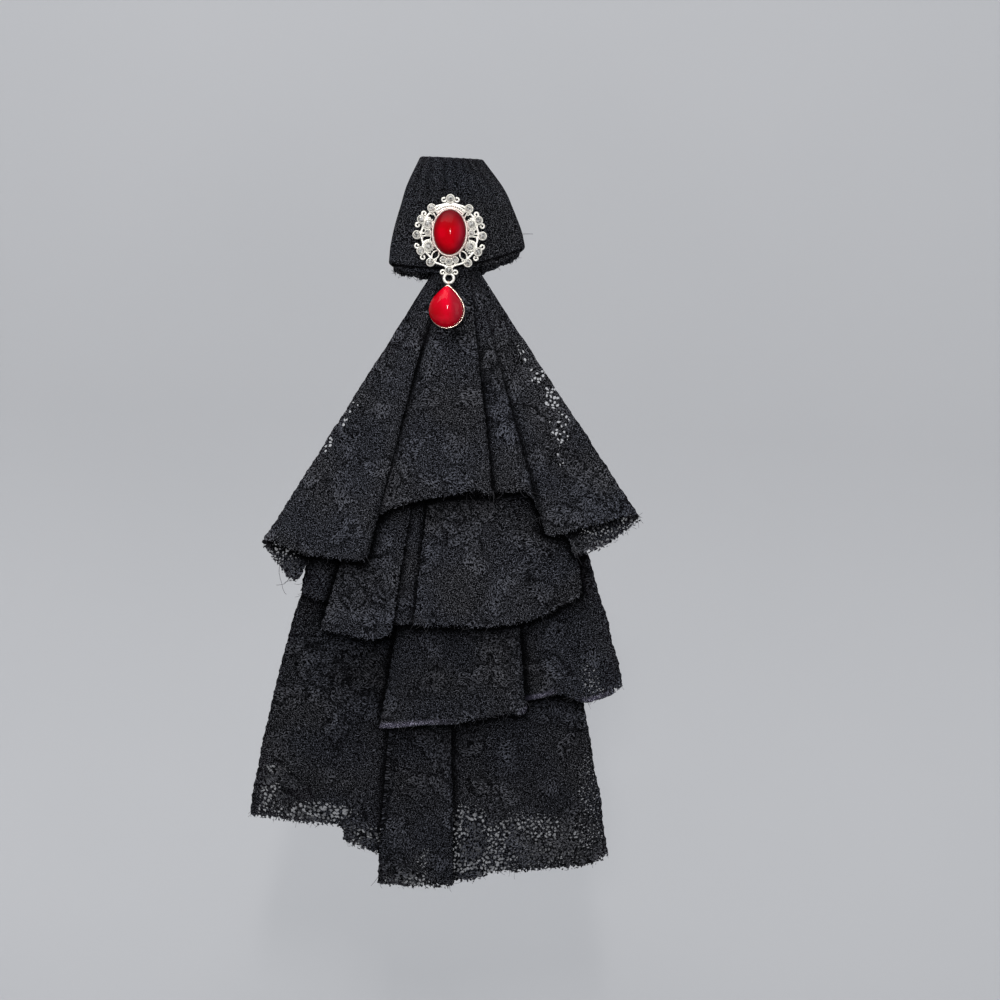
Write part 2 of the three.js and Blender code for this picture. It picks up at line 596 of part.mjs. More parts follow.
function frameGeometry() {
  const rim = rimHalf();
  const seat = { x: CABOCHON.x + LINK_GAP, y: CABOCHON.y + LINK_GAP };
  const bezel = { x: seat.x + BEZEL_WALL, y: seat.y + BEZEL_WALL };
  const seatZ = (BROOCH_SEAT - 1) * KNOT_DEPTH;
  const raise = (geometry) => geometry.translate(0, CABOCHON_RISE, 0);
  const inside = { x: rim.x - RIM_WIRE, y: rim.y - RIM_WIRE };
  const loop = new THREE.TorusGeometry(LOOP_RADIUS, LOOP_WIRE, 6, 16);
  return joined([
    oval(rim.x, rim.y, 0, PLATE, inside),
    raise(oval(half(bezel.x + seat.x), half(bezel.y + seat.y), seatZ, PLATE)),
    raise(oval(bezel.x, bezel.y, seatZ, BEZEL_HEIGHT, seat)),
    ...outerCups.map(ribGeometry),
    ...outerCups.map(cupGeometry),
    ...innerCups.map(cupGeometry),
    ...CURLS.flatMap((curl) => [curlGeometry(curl, 1), curlGeometry(curl, -1)]),
    crestGeometry(),
    loop.translate(0, -LOOP_DROP, half(PLATE)),
  ]);
}

// A round cut stone: an eight-sided table, crown, girdle and pavilion
function stoneGeometry({ x, y, stone }) {
  const culet = CUP_HEIGHT - STONE_HEIGHT * 0.6;
  const profile = [
    [0, culet],
    [stone * 0.6, culet],
    [stone, culet + STONE_HEIGHT * 0.5],
    [stone * 0.58, culet + STONE_HEIGHT],
    [0, culet + STONE_HEIGHT],
  ];
  return turned(profile, 8).translate(x, y, 0);
}

// A smooth oval dome on a straight girdle
function cabochonGeometry() {
  const rise = CABOCHON.height - CABOCHON.girdle;
  const steps = 6;
  const dome = Array.from({ length: steps + 1 }, (_, i) => {
    const angle = (Math.PI / 2) * (i / steps);
    return [CABOCHON.x * Math.cos(angle), CABOCHON.girdle + rise * Math.sin(angle)];
  });
  dome[steps][0] = 0;
  return turned([[0, 0], [CABOCHON.x, 0], ...dome], 24)
    .scale(1, CABOCHON.y / CABOCHON.x, 1)
    .translate(0, CABOCHON_RISE, PLATE + GAP);
}

// Pear drop, in a frame like the brooch's, from the lowest wire of the jump ring

const PEAR_POINTS = 20;

// Outline of the pear, drawn in by an inset, from the tip and round
function pearOutline(inset) {
  const radius = PEAR_RADIUS - inset;
  const foot = PEAR_TIP - PEAR_LENGTH;
  const middle = foot + PEAR_RADIUS;
  const tip = PEAR_TIP - inset * 1.7;
  const points = [];
  for (let i = 0; i < PEAR_POINTS; i++) {
    const turn = (2 * Math.PI * i) / PEAR_POINTS;
    const upper = Math.max(0, Math.cos(turn));
    const narrow = 1 - 0.56 * Math.pow(upper, 2.2);
    const height = Math.cos(turn) > 0 ? tip - middle : radius;
    points.push(new THREE.Vector2(radius * Math.sin(turn) * narrow, middle + height * Math.cos(turn)));
  }
  return points;
}

function settingGeometry() {
  const floorBack = RING_RADIUS + RING_WIRE + GAP;
  const slab = (inset, from, depth) =>
    new THREE.ExtrudeGeometry(new THREE.Shape(pearOutline(inset)), { depth, bevelEnabled: false })
      .translate(0, 0, from);
  const cup = toManifold(slab(0, floorBack, PEAR_CUP));
  const room = toManifold(slab(PEAR_WALL, floorBack + PEAR_FLOOR, PEAR_CUP));
  const eyeMiddle = RING_WIRE + LINK_GAP - (EYE_RADIUS - EYE_WIRE);
  const eye = new THREE.TorusGeometry(EYE_RADIUS, EYE_WIRE, 6, 14).translate(0, eyeMiddle, 0);
  const neckDepth = floorBack + EYE_WIRE + half(PEAR_FLOOR);
  const neck = new THREE.BoxGeometry(EYE_RADIUS, 2 * EYE_WIRE, neckDepth)
    .translate(0, eyeMiddle - EYE_RADIUS, half(neckDepth) - EYE_WIRE);
  return fromManifold(cup.subtract(room).add(toManifold(eye)).add(toManifold(neck)));
}

// The stone: a straight girdle, a long crown in two rows of facets, and a table
function pearStoneGeometry() {
  const start = RING_RADIUS + RING_WIRE + GAP + PEAR_FLOOR + GAP;
  const edge = pearOutline(PEAR_WALL + LINK_GAP);
  const middle = PEAR_TIP - PEAR_LENGTH + PEAR_RADIUS;
  const rings = [
    { size: 1, height: 0 },
    { size: 1, height: 0.36 },
    { size: 0.8, height: 0.74 },
    { size: 0.45, height: 1 },
  ];
  const shell = new Shell();
  const loops = rings.map(({ size, height }) =>
    edge.map((p) => shell.corner(new THREE.Vector3(
      p.x * size,
      middle + (p.y - middle) * size,
      start + height * PEAR_STONE,
    ))),
  );
  const last = loops.length - 1;
  const back = shell.corner(new THREE.Vector3(0, middle, start));
  const table = shell.corner(new THREE.Vector3(0, middle, start + PEAR_STONE));
  for (let k = 0; k < PEAR_POINTS; k++) {
    const n = (k + 1) % PEAR_POINTS;
    for (let l = 0; l < last; l++) {
      shell.face(loops[l][n], loops[l][k], loops[l + 1][k], loops[l + 1][n]);
    }
    shell.faces.push(back, loops[0][k], loops[0][n]);
    shell.faces.push(table, loops[last][n], loops[last][k]);
  }
  return closed(shell.geometry());
}

// Assembly

const TIERS = [
  { name: "tier_1", size: TIER_1, folds: TIER_1_FOLDS },
  { name: "tier_2", size: TIER_2, folds: TIER_2_FOLDS },
  { name: "tier_3", size: TIER_3, folds: TIER_3_FOLDS },
  { name: "tier_4", size: TIER_4, folds: TIER_4_FOLDS },
];

const jabot = new THREE.Group();
jabot.add(piece("collar_pin", closed(pinGeometry()), "silver"));
jabot.add(piece("knot", closed(knotGeometry()), "lace"));
TIERS.forEach((tier, place) => {
  jabot.add(piece(tier.name, closed(tierGeometry(tier, place)), "lace"));
});

// The brooch stands off the knot's front, at the depth of the knot's bottom rim
const plateY = KNOT_BACK - KNOT_DEPTH - GAP;
const brooch = new THREE.Group();
brooch.position.set(0, plateY, BROOCH_Z);
brooch.rotation.set(Math.PI / 2, -BROOCH_TILT, 0, "YXZ");
brooch.add(piece("brooch_frame", frameGeometry(), "silver"));
brooch.add(piece("cabochon", closed(cabochonGeometry()), "red_stone"));
const numbered = (stem, i) => `${stem}_${String(i + 1).padStart(2, "0")}`;
outerCups.forEach((cup, i) => {
  brooch.add(piece(numbered("rim_stone", i), closed(stoneGeometry(cup)), "clear_stone"));
});
innerCups.forEach((cup, i) => {
  brooch.add(piece(numbered("inner_stone", i), closed(stoneGeometry(cup)), "clear_stone"));
});
jabot.add(brooch);

// The ring hangs on the loop's lowest wire, and the drop on the ring's lowest wire
const loopX = LOOP_DROP * Math.sin(BROOCH_TILT);
const loopZ = BROOCH_Z - LOOP_DROP * Math.cos(BROOCH_TILT);
const linkY = plateY - half(PLATE);
const hangZ = loopZ - LOOP_RADIUS;
const ringZ = hangZ + LOOP_WIRE + LINK_GAP - (RING_RADIUS - RING_WIRE);
const ringGeometry = new THREE.TorusGeometry(RING_RADIUS, RING_WIRE, 6, 16).rotateY(Math.PI / 2);
const ring = piece("jump_ring", closed(ringGeometry), "rose_metal");
ring.position.set(loopX, linkY, ringZ);
jabot.add(ring);

const drop = new THREE.Group();
drop.position.set(loopX, linkY, ringZ - RING_RADIUS);
drop.rotation.x = Math.PI / 2;
drop.add(piece("drop_setting", settingGeometry(), "rose_metal"));
drop.add(piece("drop_stone", pearStoneGeometry(), "red_stone"));
jabot.add(drop);

export default jabot;
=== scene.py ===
import math

import bpy
import numpy as np
from mathutils import Matrix, Vector


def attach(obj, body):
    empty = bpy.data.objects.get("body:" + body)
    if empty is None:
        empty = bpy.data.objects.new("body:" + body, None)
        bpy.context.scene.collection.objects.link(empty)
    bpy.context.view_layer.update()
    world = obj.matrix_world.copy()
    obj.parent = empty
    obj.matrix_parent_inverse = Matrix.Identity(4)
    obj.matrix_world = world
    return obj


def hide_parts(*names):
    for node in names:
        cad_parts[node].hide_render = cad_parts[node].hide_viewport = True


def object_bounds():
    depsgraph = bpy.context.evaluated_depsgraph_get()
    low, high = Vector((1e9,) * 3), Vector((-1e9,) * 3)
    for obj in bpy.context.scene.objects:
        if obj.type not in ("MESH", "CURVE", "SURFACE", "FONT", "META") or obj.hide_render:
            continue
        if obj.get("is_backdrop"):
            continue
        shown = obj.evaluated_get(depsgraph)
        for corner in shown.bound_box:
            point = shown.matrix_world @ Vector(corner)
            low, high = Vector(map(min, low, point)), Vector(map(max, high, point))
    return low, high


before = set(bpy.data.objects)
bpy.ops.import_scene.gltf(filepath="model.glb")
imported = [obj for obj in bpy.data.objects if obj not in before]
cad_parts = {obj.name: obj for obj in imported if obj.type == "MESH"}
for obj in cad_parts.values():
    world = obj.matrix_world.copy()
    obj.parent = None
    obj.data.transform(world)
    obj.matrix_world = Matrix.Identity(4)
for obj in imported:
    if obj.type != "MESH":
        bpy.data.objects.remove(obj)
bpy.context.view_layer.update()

# Camera
# It looks level along +Y at the middle of the lace, rolled three degrees, from 0.9 m.

ROLL = math.radians(3)
camera_data = bpy.data.cameras.new("camera")
camera_data.lens = 81
camera_data.sensor_width = 36
camera = bpy.data.objects.new("camera", camera_data)
bpy.context.collection.objects.link(camera)
camera.matrix_world = Matrix((
    (math.cos(ROLL), -math.sin(ROLL), 0, 0.02575),
    (0, 0, -1, -0.92),
    (math.sin(ROLL), math.cos(ROLL), 0, -0.1168),
    (0, 0, 0, 1),
))
bpy.context.scene.camera = camera
bpy.context.scene.view_settings.view_transform = "Standard"

# Room
# A pale floor that bends up into a pale wall, with a broad soft light from the front and above,
# a narrow one beside the camera for the gleam on the cabochon, a wash on the wall and soft fill.


def grid_mesh(name, points, join_columns=False):
    """A mesh object over a grid of points, rows by columns by 3, in metres."""
    rows, columns = points.shape[:2]
    number = np.arange(rows * columns).reshape(rows, columns)
    if join_columns:
        number = np.hstack([number, number[:, :1]])
    corners = np.stack([number[:-1, :-1], number[1:, :-1], number[1:, 1:], number[:-1, 1:]], axis=-1)
    mesh = bpy.data.meshes.new(name)
    mesh.from_pydata(points.reshape(-1, 3).tolist(), [], corners.reshape(-1, 4).tolist())
    mesh.polygons.foreach_set("use_smooth", [True] * len(mesh.polygons))
    made = bpy.data.objects.new(name, mesh)
    bpy.context.collection.objects.link(made)
    return made


class Tint:
    """A value, vector or colour in a material's node tree, for sums written as in Python."""

    def __init__(self, tree, out=None):
        self.tree = tree
        self.out = out

    def node(self, kind, settings=None, inputs=None, output=0):
        made = self.tree.nodes.new("ShaderNode" + kind)
        for name, value in (settings or {}).items():
            setattr(made, name, value)
        for name, value in (inputs or {}).items():
            if isinstance(value, Tint):
                self.tree.links.new(value.out, made.inputs[name])
            else:
                made.inputs[name].default_value = value
        return Tint(self.tree, made.outputs[output] if len(made.outputs) else None)

    def maths(self, operation, *others):
        values = dict(enumerate((self, *others)))
        return self.node("Math", {"operation": operation}, values)

    def __add__(self, other):
        return self.maths("ADD", other)

    def __sub__(self, other):
        return self.maths("SUBTRACT", other)

    def __rsub__(self, other):
        return self.node("Math", {"operation": "SUBTRACT"}, {0: other, 1: self})

    def __mul__(self, other):
        return self.maths("MULTIPLY", other)

    __radd__ = __add__
    __rmul__ = __mul__

    def smooth(self, low, high):
        """0 below low and 1 above high, with a soft step between."""
        settings = {"interpolation_type": "SMOOTHSTEP"}
        return self.node("MapRange", settings, {"Value": self, "From Min": low, "From Max": high})

    def mix(self, first, second):
        """first where this is 0 and second where it is 1, as colours."""
        settings = {"data_type": "RGBA"}
        return self.node("Mix", settings, {0: self, 6: first, 7: second}, 2)

    def noise(self, scale, detail=2.0):
        return self.node("TexNoise", None, {"Vector": self, "Scale": scale, "Detail": detail})

    def axis(self, number):
        """One coordinate of a place: 0 is across, 1 is back and 2 is up."""
        return self.node("SeparateXYZ", None, {0: self}, number)


def new_material(name, roughness, metallic=0.0):
    """A material, its shader and a Tint on its node tree to start sums from."""
    made = bpy.data.materials.new(name)
    made.use_nodes = True
    shader = made.node_tree.nodes["Principled BSDF"]
    shader.inputs["Roughness"].default_value = roughness
    shader.inputs["Metallic"].default_value = metallic
    return made, shader, Tint(made.node_tree)


def solid_material(name, roughness, metallic=0.0):
    """A material, its shader and the place of each point in metres."""
    made, shader, start = new_material(name, roughness, metallic)
    return made, shader, start.node("TexCoord", output="Object")


def feed(shader, **values):
    """Links Tints to a shader's sockets, named with _ for a space."""
    for name, value in values.items():
        value.tree.links.new(value.out, shader.inputs[name.replace("_", " ")])


WALL_NEAR = 0.55
WALL_TOP = 1.6
FLOOR_FRONT = -1.6
FLOOR_HEIGHT = -0.42
FLOOR_SIDE = 2.2
BEND = 0.35
bend_turns = [math.radians(90 * step / 16) for step in range(17)]
profile = [(FLOOR_FRONT, FLOOR_HEIGHT)]
profile += [
    (WALL_NEAR - BEND + BEND * math.sin(turn), FLOOR_HEIGHT + BEND * (1 - math.cos(turn)))
    for turn in bend_turns
]
profile += [(WALL_NEAR, WALL_TOP)]
backdrop_points = [[(x, y, z) for x in (-FLOOR_SIDE, FLOOR_SIDE)] for y, z in profile]
backdrop = grid_mesh("backdrop", np.array(backdrop_points))
paper, paper_shader, paper_place = solid_material("pale_paper", 0.9)
paper_cloud = paper_place.noise(4.0)
feed(paper_shader, Base_Color=paper_cloud.mix((0.405, 0.412, 0.425, 1), (0.44, 0.445, 0.458, 1)))
backdrop.data.materials.append(paper)
backdrop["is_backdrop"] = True


def soft_light(name, place, target, size, power, tint=(1, 1, 1)):
    data = bpy.data.lights.new(name, "AREA")
    data.shape = "RECTANGLE"
    data.size, data.size_y = size
    data.energy = power
    data.color = tint
    light = bpy.data.objects.new(name, data)
    light.location = place
    away = Vector(place) - Vector(target)
    light.rotation_euler = away.to_track_quat("Z", "Y").to_euler()
    bpy.context.collection.objects.link(light)


MIDDLE = (0, 0, -0.12)
soft_light("overhead", (-0.45, -0.95, 1.25), MIDDLE, (1.9, 1.3), 29)
soft_light("right_fill", (1.3, -0.7, 0.1), MIDDLE, (0.9, 1.4), 5)
soft_light("gleam", (0.012, -1.0, 0.1), (0, 0, -0.01), (0.03, 0.13), 2.6, (1, 0.96, 0.93))
soft_light("wall_wash", (0, -0.1, 1.5), (0, 0.55, 0.1), (1.6, 0.6), 5)
world = bpy.data.worlds.new("soft_room")
world.use_nodes = True
world.node_tree.nodes["Background"].inputs["Color"].default_value = (0.9, 0.93, 1, 1)
world.node_tree.nodes["Background"].inputs["Strength"].default_value = 0.39
bpy.context.scene.world = world

# Gathered tiers
# Four layers of black floral lace, cut as flared bands with raw hems and gathered by hand to
# one place inside the knot. Each falls in knife folds, the front one shortest.

MM = 0.001
GATHER = np.array((3.2, 0.0, -20.0))
GATHER_WIDTH = 12.0
HEADER = 10.0
HEADER_ROWS = 6
HEADER_STEP = 1.67
PLAN_START = 6.0
FOLD_DEPTH = 5.2
FOLD_ONSET = 0.7
TIERS = {
    "tier_1": {"spread": 150, "length": 124.4, "lean": 13, "header": -9.4, "rows": 150},
    "tier_2": {"spread": 112, "length": 155.8, "lean": 8.6, "header": -7.7, "rows": 170},
    "tier_3": {"spread": 97, "length": 191.2, "lean": 4.4, "header": -6.0, "rows": 200},
    "tier_4": {"spread": 146, "length": 255.8, "lean": 0, "header": -4.3, "rows": 240},
}

# Points of each hem along the cloth: across, fall, forward, gather and bow, as shares
FOLDS = {
    "tier_1": (
        (-0.35, 0.995, 0.12, 0.0, 0), (-0.385, 1.08, 0.05, 0.01, 0), (-0.43, 1.03, 0.3, 0.02, 0),
        (-0.475, 0.953, 0.75, 0.03, 0), (-0.361, 0.988, 1.0, 0.05, 0), (-0.205, 1.0, 1.0, 0.07, 0),
        (-0.195, 0.99, 0.72, 0.09, 0), (-0.268, 0.94, 0.44, 0.13, -0.45),
        (-0.274, 0.9, 0.17, 0.18, -0.5), (-0.168, 0.849, 0.34, 0.28, -0.1),
        (-0.107, 0.814, 0.58, 0.38, 0), (-0.044, 0.793, 0.66, 0.5, 0), (0.025, 0.777, 0.7, 0.62, 0),
        (0.079, 0.76, 0.74, 0.75, 0), (0.129, 0.773, 0.72, 0.86, 0), (0.134, 0.77, 0.54, 0.875, 0),
        (0.066, 0.772, 0.38, 0.89, -0.45), (0.062, 0.768, 0.2, 0.905, -0.5),
        (0.152, 0.76, 0.32, 0.92, -0.1), (0.225, 0.754, 0.38, 0.935, 0),
        (0.236, 0.765, 0.37, 0.945, 0), (0.256, 0.812, 0.36, 0.955, 0),
        (0.288, 0.89, 0.36, 0.965, 0), (0.368, 0.864, 0.42, 0.975, 0),
        (0.512, 0.808, 0.75, 0.985, 0), (0.525, 0.816, 0.5, 0.99, 0), (0.457, 0.9, 0.12, 0.995, 0),
        (0.359, 0.957, 0.1, 1.0, 0),
    ),
    "tier_2": (
        (-0.448, 0.835, 0.1, 0.0, 0.6), (-0.494, 0.886, 0.2, 0.02, 0.7),
        (-0.404, 0.913, 0.05, 0.05, 0.6), (-0.314, 0.937, 0.05, 0.1, 0.1),
        (-0.292, 0.947, 0.28, 0.12, 0), (-0.323, 0.96, 0.5, 0.14, 0),
        (-0.404, 0.972, 0.53, 0.16, 0.1), (-0.418, 0.979, 0.8, 0.17, 0.15),
        (-0.308, 0.993, 1.0, 0.2, 0), (-0.221, 1.0, 1.0, 0.23, 0), (-0.164, 0.982, 0.82, 0.25, 0),
        (-0.18, 0.966, 0.72, 0.27, -0.1), (-0.243, 0.953, 0.62, 0.29, -0.3),
        (-0.228, 0.953, 0.5, 0.32, -0.3), (-0.1, 0.96, 0.54, 0.37, 0),
        (-0.011, 0.96, 0.34, 0.42, 0), (0.007, 0.96, 0.46, 0.43, 0), (-0.029, 0.96, 0.6, 0.435, 0),
        (-0.073, 0.961, 0.68, 0.44, 0), (-0.085, 0.961, 0.86, 0.45, 0),
        (0.012, 0.958, 0.95, 0.55, 0), (0.204, 0.951, 1.0, 0.72, 0), (0.306, 0.937, 0.85, 0.84, 0),
        (0.382, 0.915, 0.5, 0.9, 0.3), (0.421, 0.899, 0.35, 0.93, 0.4),
        (0.48, 0.876, 0.55, 0.97, 0.6), (0.512, 0.859, 0.4, 1.0, 0.7),
    ),
    "tier_3": (
        (-0.054, 0.973, 0.1, 0.0, -0.2), (-0.177, 0.994, 0.15, 0.03, -0.4),
        (-0.221, 1.0, 0.5, 0.06, -0.5), (-0.177, 0.999, 0.85, 0.1, -0.4),
        (-0.097, 0.993, 1.0, 0.18, -0.2), (-0.018, 0.988, 0.78, 0.27, 0),
        (0.059, 0.986, 0.6, 0.36, 0), (0.122, 0.981, 0.82, 0.45, 0), (0.181, 0.975, 1.0, 0.53, 0),
        (0.287, 0.962, 0.95, 0.64, 0.1), (0.381, 0.953, 0.8, 0.74, 0.3),
        (0.39, 0.944, 0.52, 0.76, 0.3), (0.287, 0.936, 0.32, 0.78, -0.2),
        (0.271, 0.934, 0.08, 0.8, -0.3), (0.359, 0.931, 0.05, 0.84, 0.2),
        (0.431, 0.923, 0.2, 0.87, 0.3), (0.513, 0.91, 0.45, 0.9, 0.3),
        (0.586, 0.922, 0.4, 0.93, 0.3), (0.647, 0.923, 0.5, 0.95, 0.3),
        (0.776, 0.892, 0.55, 0.98, 0.3), (0.781, 0.881, 0.3, 0.99, 0.3),
        (0.689, 0.889, 0.05, 1.0, 0.3),
    ),
    "tier_4": (
        (-0.474, 0.899, 0.05, 0.0, 0.65), (-0.495, 0.901, 0.3, 0.02, 0.65),
        (-0.433, 0.904, 0.6, 0.06, 0.6), (-0.363, 0.908, 0.75, 0.1, 0.5),
        (-0.282, 0.91, 0.5, 0.16, 0.4), (-0.24, 0.914, 0.36, 0.2, 0.3),
        (-0.228, 0.936, 0.28, 0.23, 0.1), (-0.2, 0.942, 0.28, 0.25, 0.1),
        (-0.156, 0.949, 0.28, 0.29, 0), (-0.09, 0.966, 0.24, 0.34, -0.2),
        (-0.073, 0.978, 0.34, 0.36, -0.1), (-0.097, 0.99, 0.46, 0.37, 0.2),
        (-0.132, 0.998, 0.56, 0.38, 0.9), (-0.084, 1.0, 0.74, 0.42, 0.5),
        (-0.036, 1.0, 0.82, 0.48, 0.1), (0.026, 0.998, 0.86, 0.56, 0),
        (0.076, 0.996, 0.8, 0.63, -0.8), (0.081, 0.994, 0.6, 0.645, -0.8),
        (0.019, 0.992, 0.42, 0.66, -0.9), (0.009, 0.99, 0.2, 0.675, -0.9),
        (0.074, 0.99, 0.18, 0.7, -0.4), (0.129, 0.988, 0.24, 0.74, 0),
        (0.192, 0.973, 0.5, 0.8, 0.2), (0.265, 0.968, 0.7, 0.86, 0.3),
        (0.341, 0.962, 0.55, 0.91, 0.35), (0.41, 0.959, 0.4, 0.95, 0.35),
        (0.471, 0.948, 0.6, 0.98, 0.35), (0.506, 0.935, 0.5, 0.995, 0.35),
        (0.499, 0.928, 0.2, 1.0, 0.35),
    ),
}


def curve_through(points, steps):
    """A centripetal curve along the second axis of points, with steps[i] divisions of part i."""
    first = 2 * points[:, :1] - points[:, 1:2]
    last = 2 * points[:, -1:] - points[:, -2:-1]
    every = np.concatenate([first, points, last], axis=1)
    out = []
    for part, count in enumerate(steps):
        a, b, c, d = (every[:, part + k] for k in range(4))
        ab, bc, cd = (
            np.maximum(np.linalg.norm(q - p, axis=-1, keepdims=True) ** 0.5, 1e-3)
            for p, q in ((a, b), (b, c), (c, d))
        )
        leave = ((b - a) / ab - (c - a) / (ab + bc) + (c - b) / bc) * bc
        arrive = ((c - b) / bc - (d - b) / (bc + cd) + (d - c) / cd) * bc
        for k in range(count):
            t = k / count
            square = -3 * b + 3 * c - 2 * leave - arrive
            cube = 2 * b - 2 * c + leave + arrive
            out.append(b + leave * t + square * t * t + cube * t**3)
    out.append(points[:, -1])
    return np.stack(out, axis=1)


def tier_surface(size, folds):
    """The middle of a tier's cloth, rows down by columns along, in millimetres."""
    across, fall, forward, gather, bow = np.array(folds).T
    level = np.linspace(0, 1, size["rows"])[:, None]
    gather_x = GATHER[0] + (gather - 0.5) * GATHER_WIDTH
    hem_x = GATHER[0] + across * size["spread"]
    x = gather_x + (hem_x - gather_x) * (level + bow * level * (1 - level))
    y = size["header"] - size["lean"] * level - FOLD_DEPTH * forward * level**FOLD_ONSET
    z = GATHER[2] - fall * size["length"] * level
    rows = np.stack([x, y, z], axis=-1)
    hem = rows[-1]
    gaps = np.linalg.norm(np.diff(hem, axis=0), axis=1)
    body = curve_through(rows, [max(5, round(gap / 0.95)) for gap in gaps])
    body[..., 0] += 0.2 * np.sin(body[..., 2] * 1.3 + body[..., 0] * 0.2) * level
    body[..., 0] += 0.16 * np.sin(body[..., 2] * 2.9 + body[..., 0] * 0.35 + 1) * level
    header = np.repeat(body[:1], HEADER_ROWS, axis=0)
    header[:, :, 2] += np.linspace(HEADER, HEADER / HEADER_ROWS, HEADER_ROWS)[:, None]
    return np.concatenate([header, body])


def grid_normals(points):
    along = np.gradient(points, axis=1)
    down = np.gradient(points, axis=0)
    across = np.cross(down, along)
    return across / np.maximum(np.linalg.norm(across, axis=-1, keepdims=True), 1e-9)


def cut_plan(points):
    """Each point's place on the cloth laid flat as a flared band, its area, and the way to the hem."""
    above = HEADER_ROWS - 1
    body = points[above:]
    steps = np.linalg.norm(np.diff(body, axis=0), axis=-1)
    below = np.concatenate([np.zeros((1, body.shape[1])), np.cumsum(steps, axis=0)])
    length = below[-1]
    hem_steps = np.linalg.norm(np.diff(body[-1], axis=0), axis=-1)
    sideways = np.sqrt(np.maximum(hem_steps**2 - np.diff(length) ** 2, 0))
    turn = np.concatenate([[0], np.cumsum(sideways / (PLAN_START + (length[1:] + length[:-1]) / 2))])
    turn -= turn[-1] / 2
    radius = PLAN_START + below
    plan = np.stack([radius * np.sin(turn), -radius * np.cos(turn)], axis=-1)
    header = plan[:1] + (points[:above, :, 2] - points[above, :, 2])[:, :, None] * np.array((0, 1))
    spread = np.diff(turn) * (((PLAN_START + length) ** 2)[1:] - PLAN_START**2) / 2
    fallen = np.zeros((above, body.shape[1])) - (HEADER - np.arange(above)[:, None] * HEADER_STEP)
    hem_distance = length - np.concatenate([fallen, below])
    return np.concatenate([header, plan]), float(spread.sum()), hem_distance


# Floral pattern of the lace: one repeat, in millimetres. Rings of petals: count, distance, half
# length, half width and turn. Leaves: x, y, degrees, half length and half width. Fans: x, y,
# degrees and reach.
REPEAT = np.array((58.0, 74.0))
ROSE_RINGS = ((5, 10.2, 7.4, 5.6, 0.2), (5, 6.6, 5.0, 4.2, 0.9), (3, 3.4, 3.2, 2.6, 0.4))
LEAVES = (
    (15.5, 9.5, 35, 11.5, 4.6), (-15.0, 11.0, 140, 11.0, 4.4), (-17.0, -8.5, 205, 10.5, 4.2),
    (12.0, -16.5, -52, 11.5, 4.6), (-4.0, -21.5, -98, 9.0, 3.8), (2.0, 21.5, 80, 9.5, 4.0),
    (24.5, -5.0, -10, 8.0, 3.2), (-26.0, 24.0, 60, 10.0, 4.0), (-24.0, 31.0, 150, 9.0, 3.8),
    (22.0, 28.0, 20, 10.5, 4.2),
)
FANS = ((-9.0, 34.0, 95, 12.0), (26.0, -24.0, -65, 13.0), (-24.5, -25.0, -130, 11.5))


def lace_pattern(u, v, shift):
    """Depth inside the nearest motif and the direction of the stitches, for each point."""
    u, v = (u + 1.1 * np.sin(v * 0.53 + u * 0.21) + 0.8 * np.sin(u * 0.9 - v * 0.4 + 2),
            v + 1.1 * np.sin(u * 0.47 - v * 0.26 + 1) + 0.8 * np.sin(v * 0.83 + u * 0.52))
    cell_x = (u + shift[0]) / REPEAT[0]
    column = np.floor(cell_x)
    cell_y = (v + shift[1]) / REPEAT[1] + 0.5 * (column % 2)
    x = (cell_x - column - 0.5) * REPEAT[0]
    y = (cell_y - np.floor(cell_y) - 0.5) * REPEAT[1]
    depth = np.full(u.shape, -2.0)
    way = 1.57 + 1.1 * np.sin(u * 0.11 + 0.7 * np.sin(v * 0.09)) + 0.7 * np.sin(v * 0.17 + u * 0.05)

    def lay(inside, direction):
        nonlocal depth, way
        on = inside > -0.7
        depth = np.where(on, inside, depth)
        way = np.where(on, direction, way)

    def turned(cx, cy, degrees):
        turn = math.radians(degrees)
        px, py = x - cx, y - cy
        return px * math.cos(turn) + py * math.sin(turn), py * math.cos(turn) - px * math.sin(turn)

    for cx, cy, degrees, reach in FANS:
        along, beside = turned(cx, cy, degrees)
        radius = np.hypot(along + reach * 0.6, beside)
        angle = np.arctan2(beside, along + reach * 0.6)
        edge = np.minimum(reach * 1.6 - radius, (0.62 - np.abs(angle)) * radius)
        edge = edge - 0.8 * np.abs(np.sin(angle * 12))
        lay(np.minimum(edge, radius - reach * 0.35), angle + math.radians(degrees))
    for cx, cy, degrees, long, wide in LEAVES:
        along, beside = turned(cx, cy, degrees)
        edge = wide * (1 - (along / long) ** 2) - np.abs(beside)
        vein = np.abs(beside)
        lay(np.minimum(edge, long - np.abs(along)), math.radians(degrees) + np.sign(beside) * 0.6)
        depth = np.where((vein < 0.45) & (edge > 0), vein - 0.25, depth)
    for count, out, long, wide, offset in ROSE_RINGS:
        for k in range(count):
            degrees = 360 * k / count + math.degrees(offset)
            turn = math.radians(degrees)
            along, beside = turned(out * math.cos(turn), out * math.sin(turn), degrees + 90)
            edge = (1 - np.hypot(along / long, beside / wide)) * wide
            around = np.arctan2(beside / wide**2, along / long**2) + 1.57
            lay(edge, around + turn + 1.57)
    lay(2.1 - np.hypot(x, y), np.arctan2(y, x) + 1.57)
    return depth, way


def add_fields(piece, **fields):
    """Stores a number for each point of a piece under each name."""
    for name, values in fields.items():
        field = piece.data.attributes.new(name, "FLOAT", "POINT")
        field.data.foreach_set("value", np.asarray(values, dtype=np.float32).ravel())


def add_strokes(piece, way):
    """Stores how far the stitches lie along each of four directions of the cloth."""
    even, odd = np.cos(2 * way), np.sin(2 * way)
    leans = (even, odd, -even, -odd)
    add_fields(piece, **{"strokes_%d" % k: np.maximum(lean, 0) ** 2 for k, lean in enumerate(leans)})


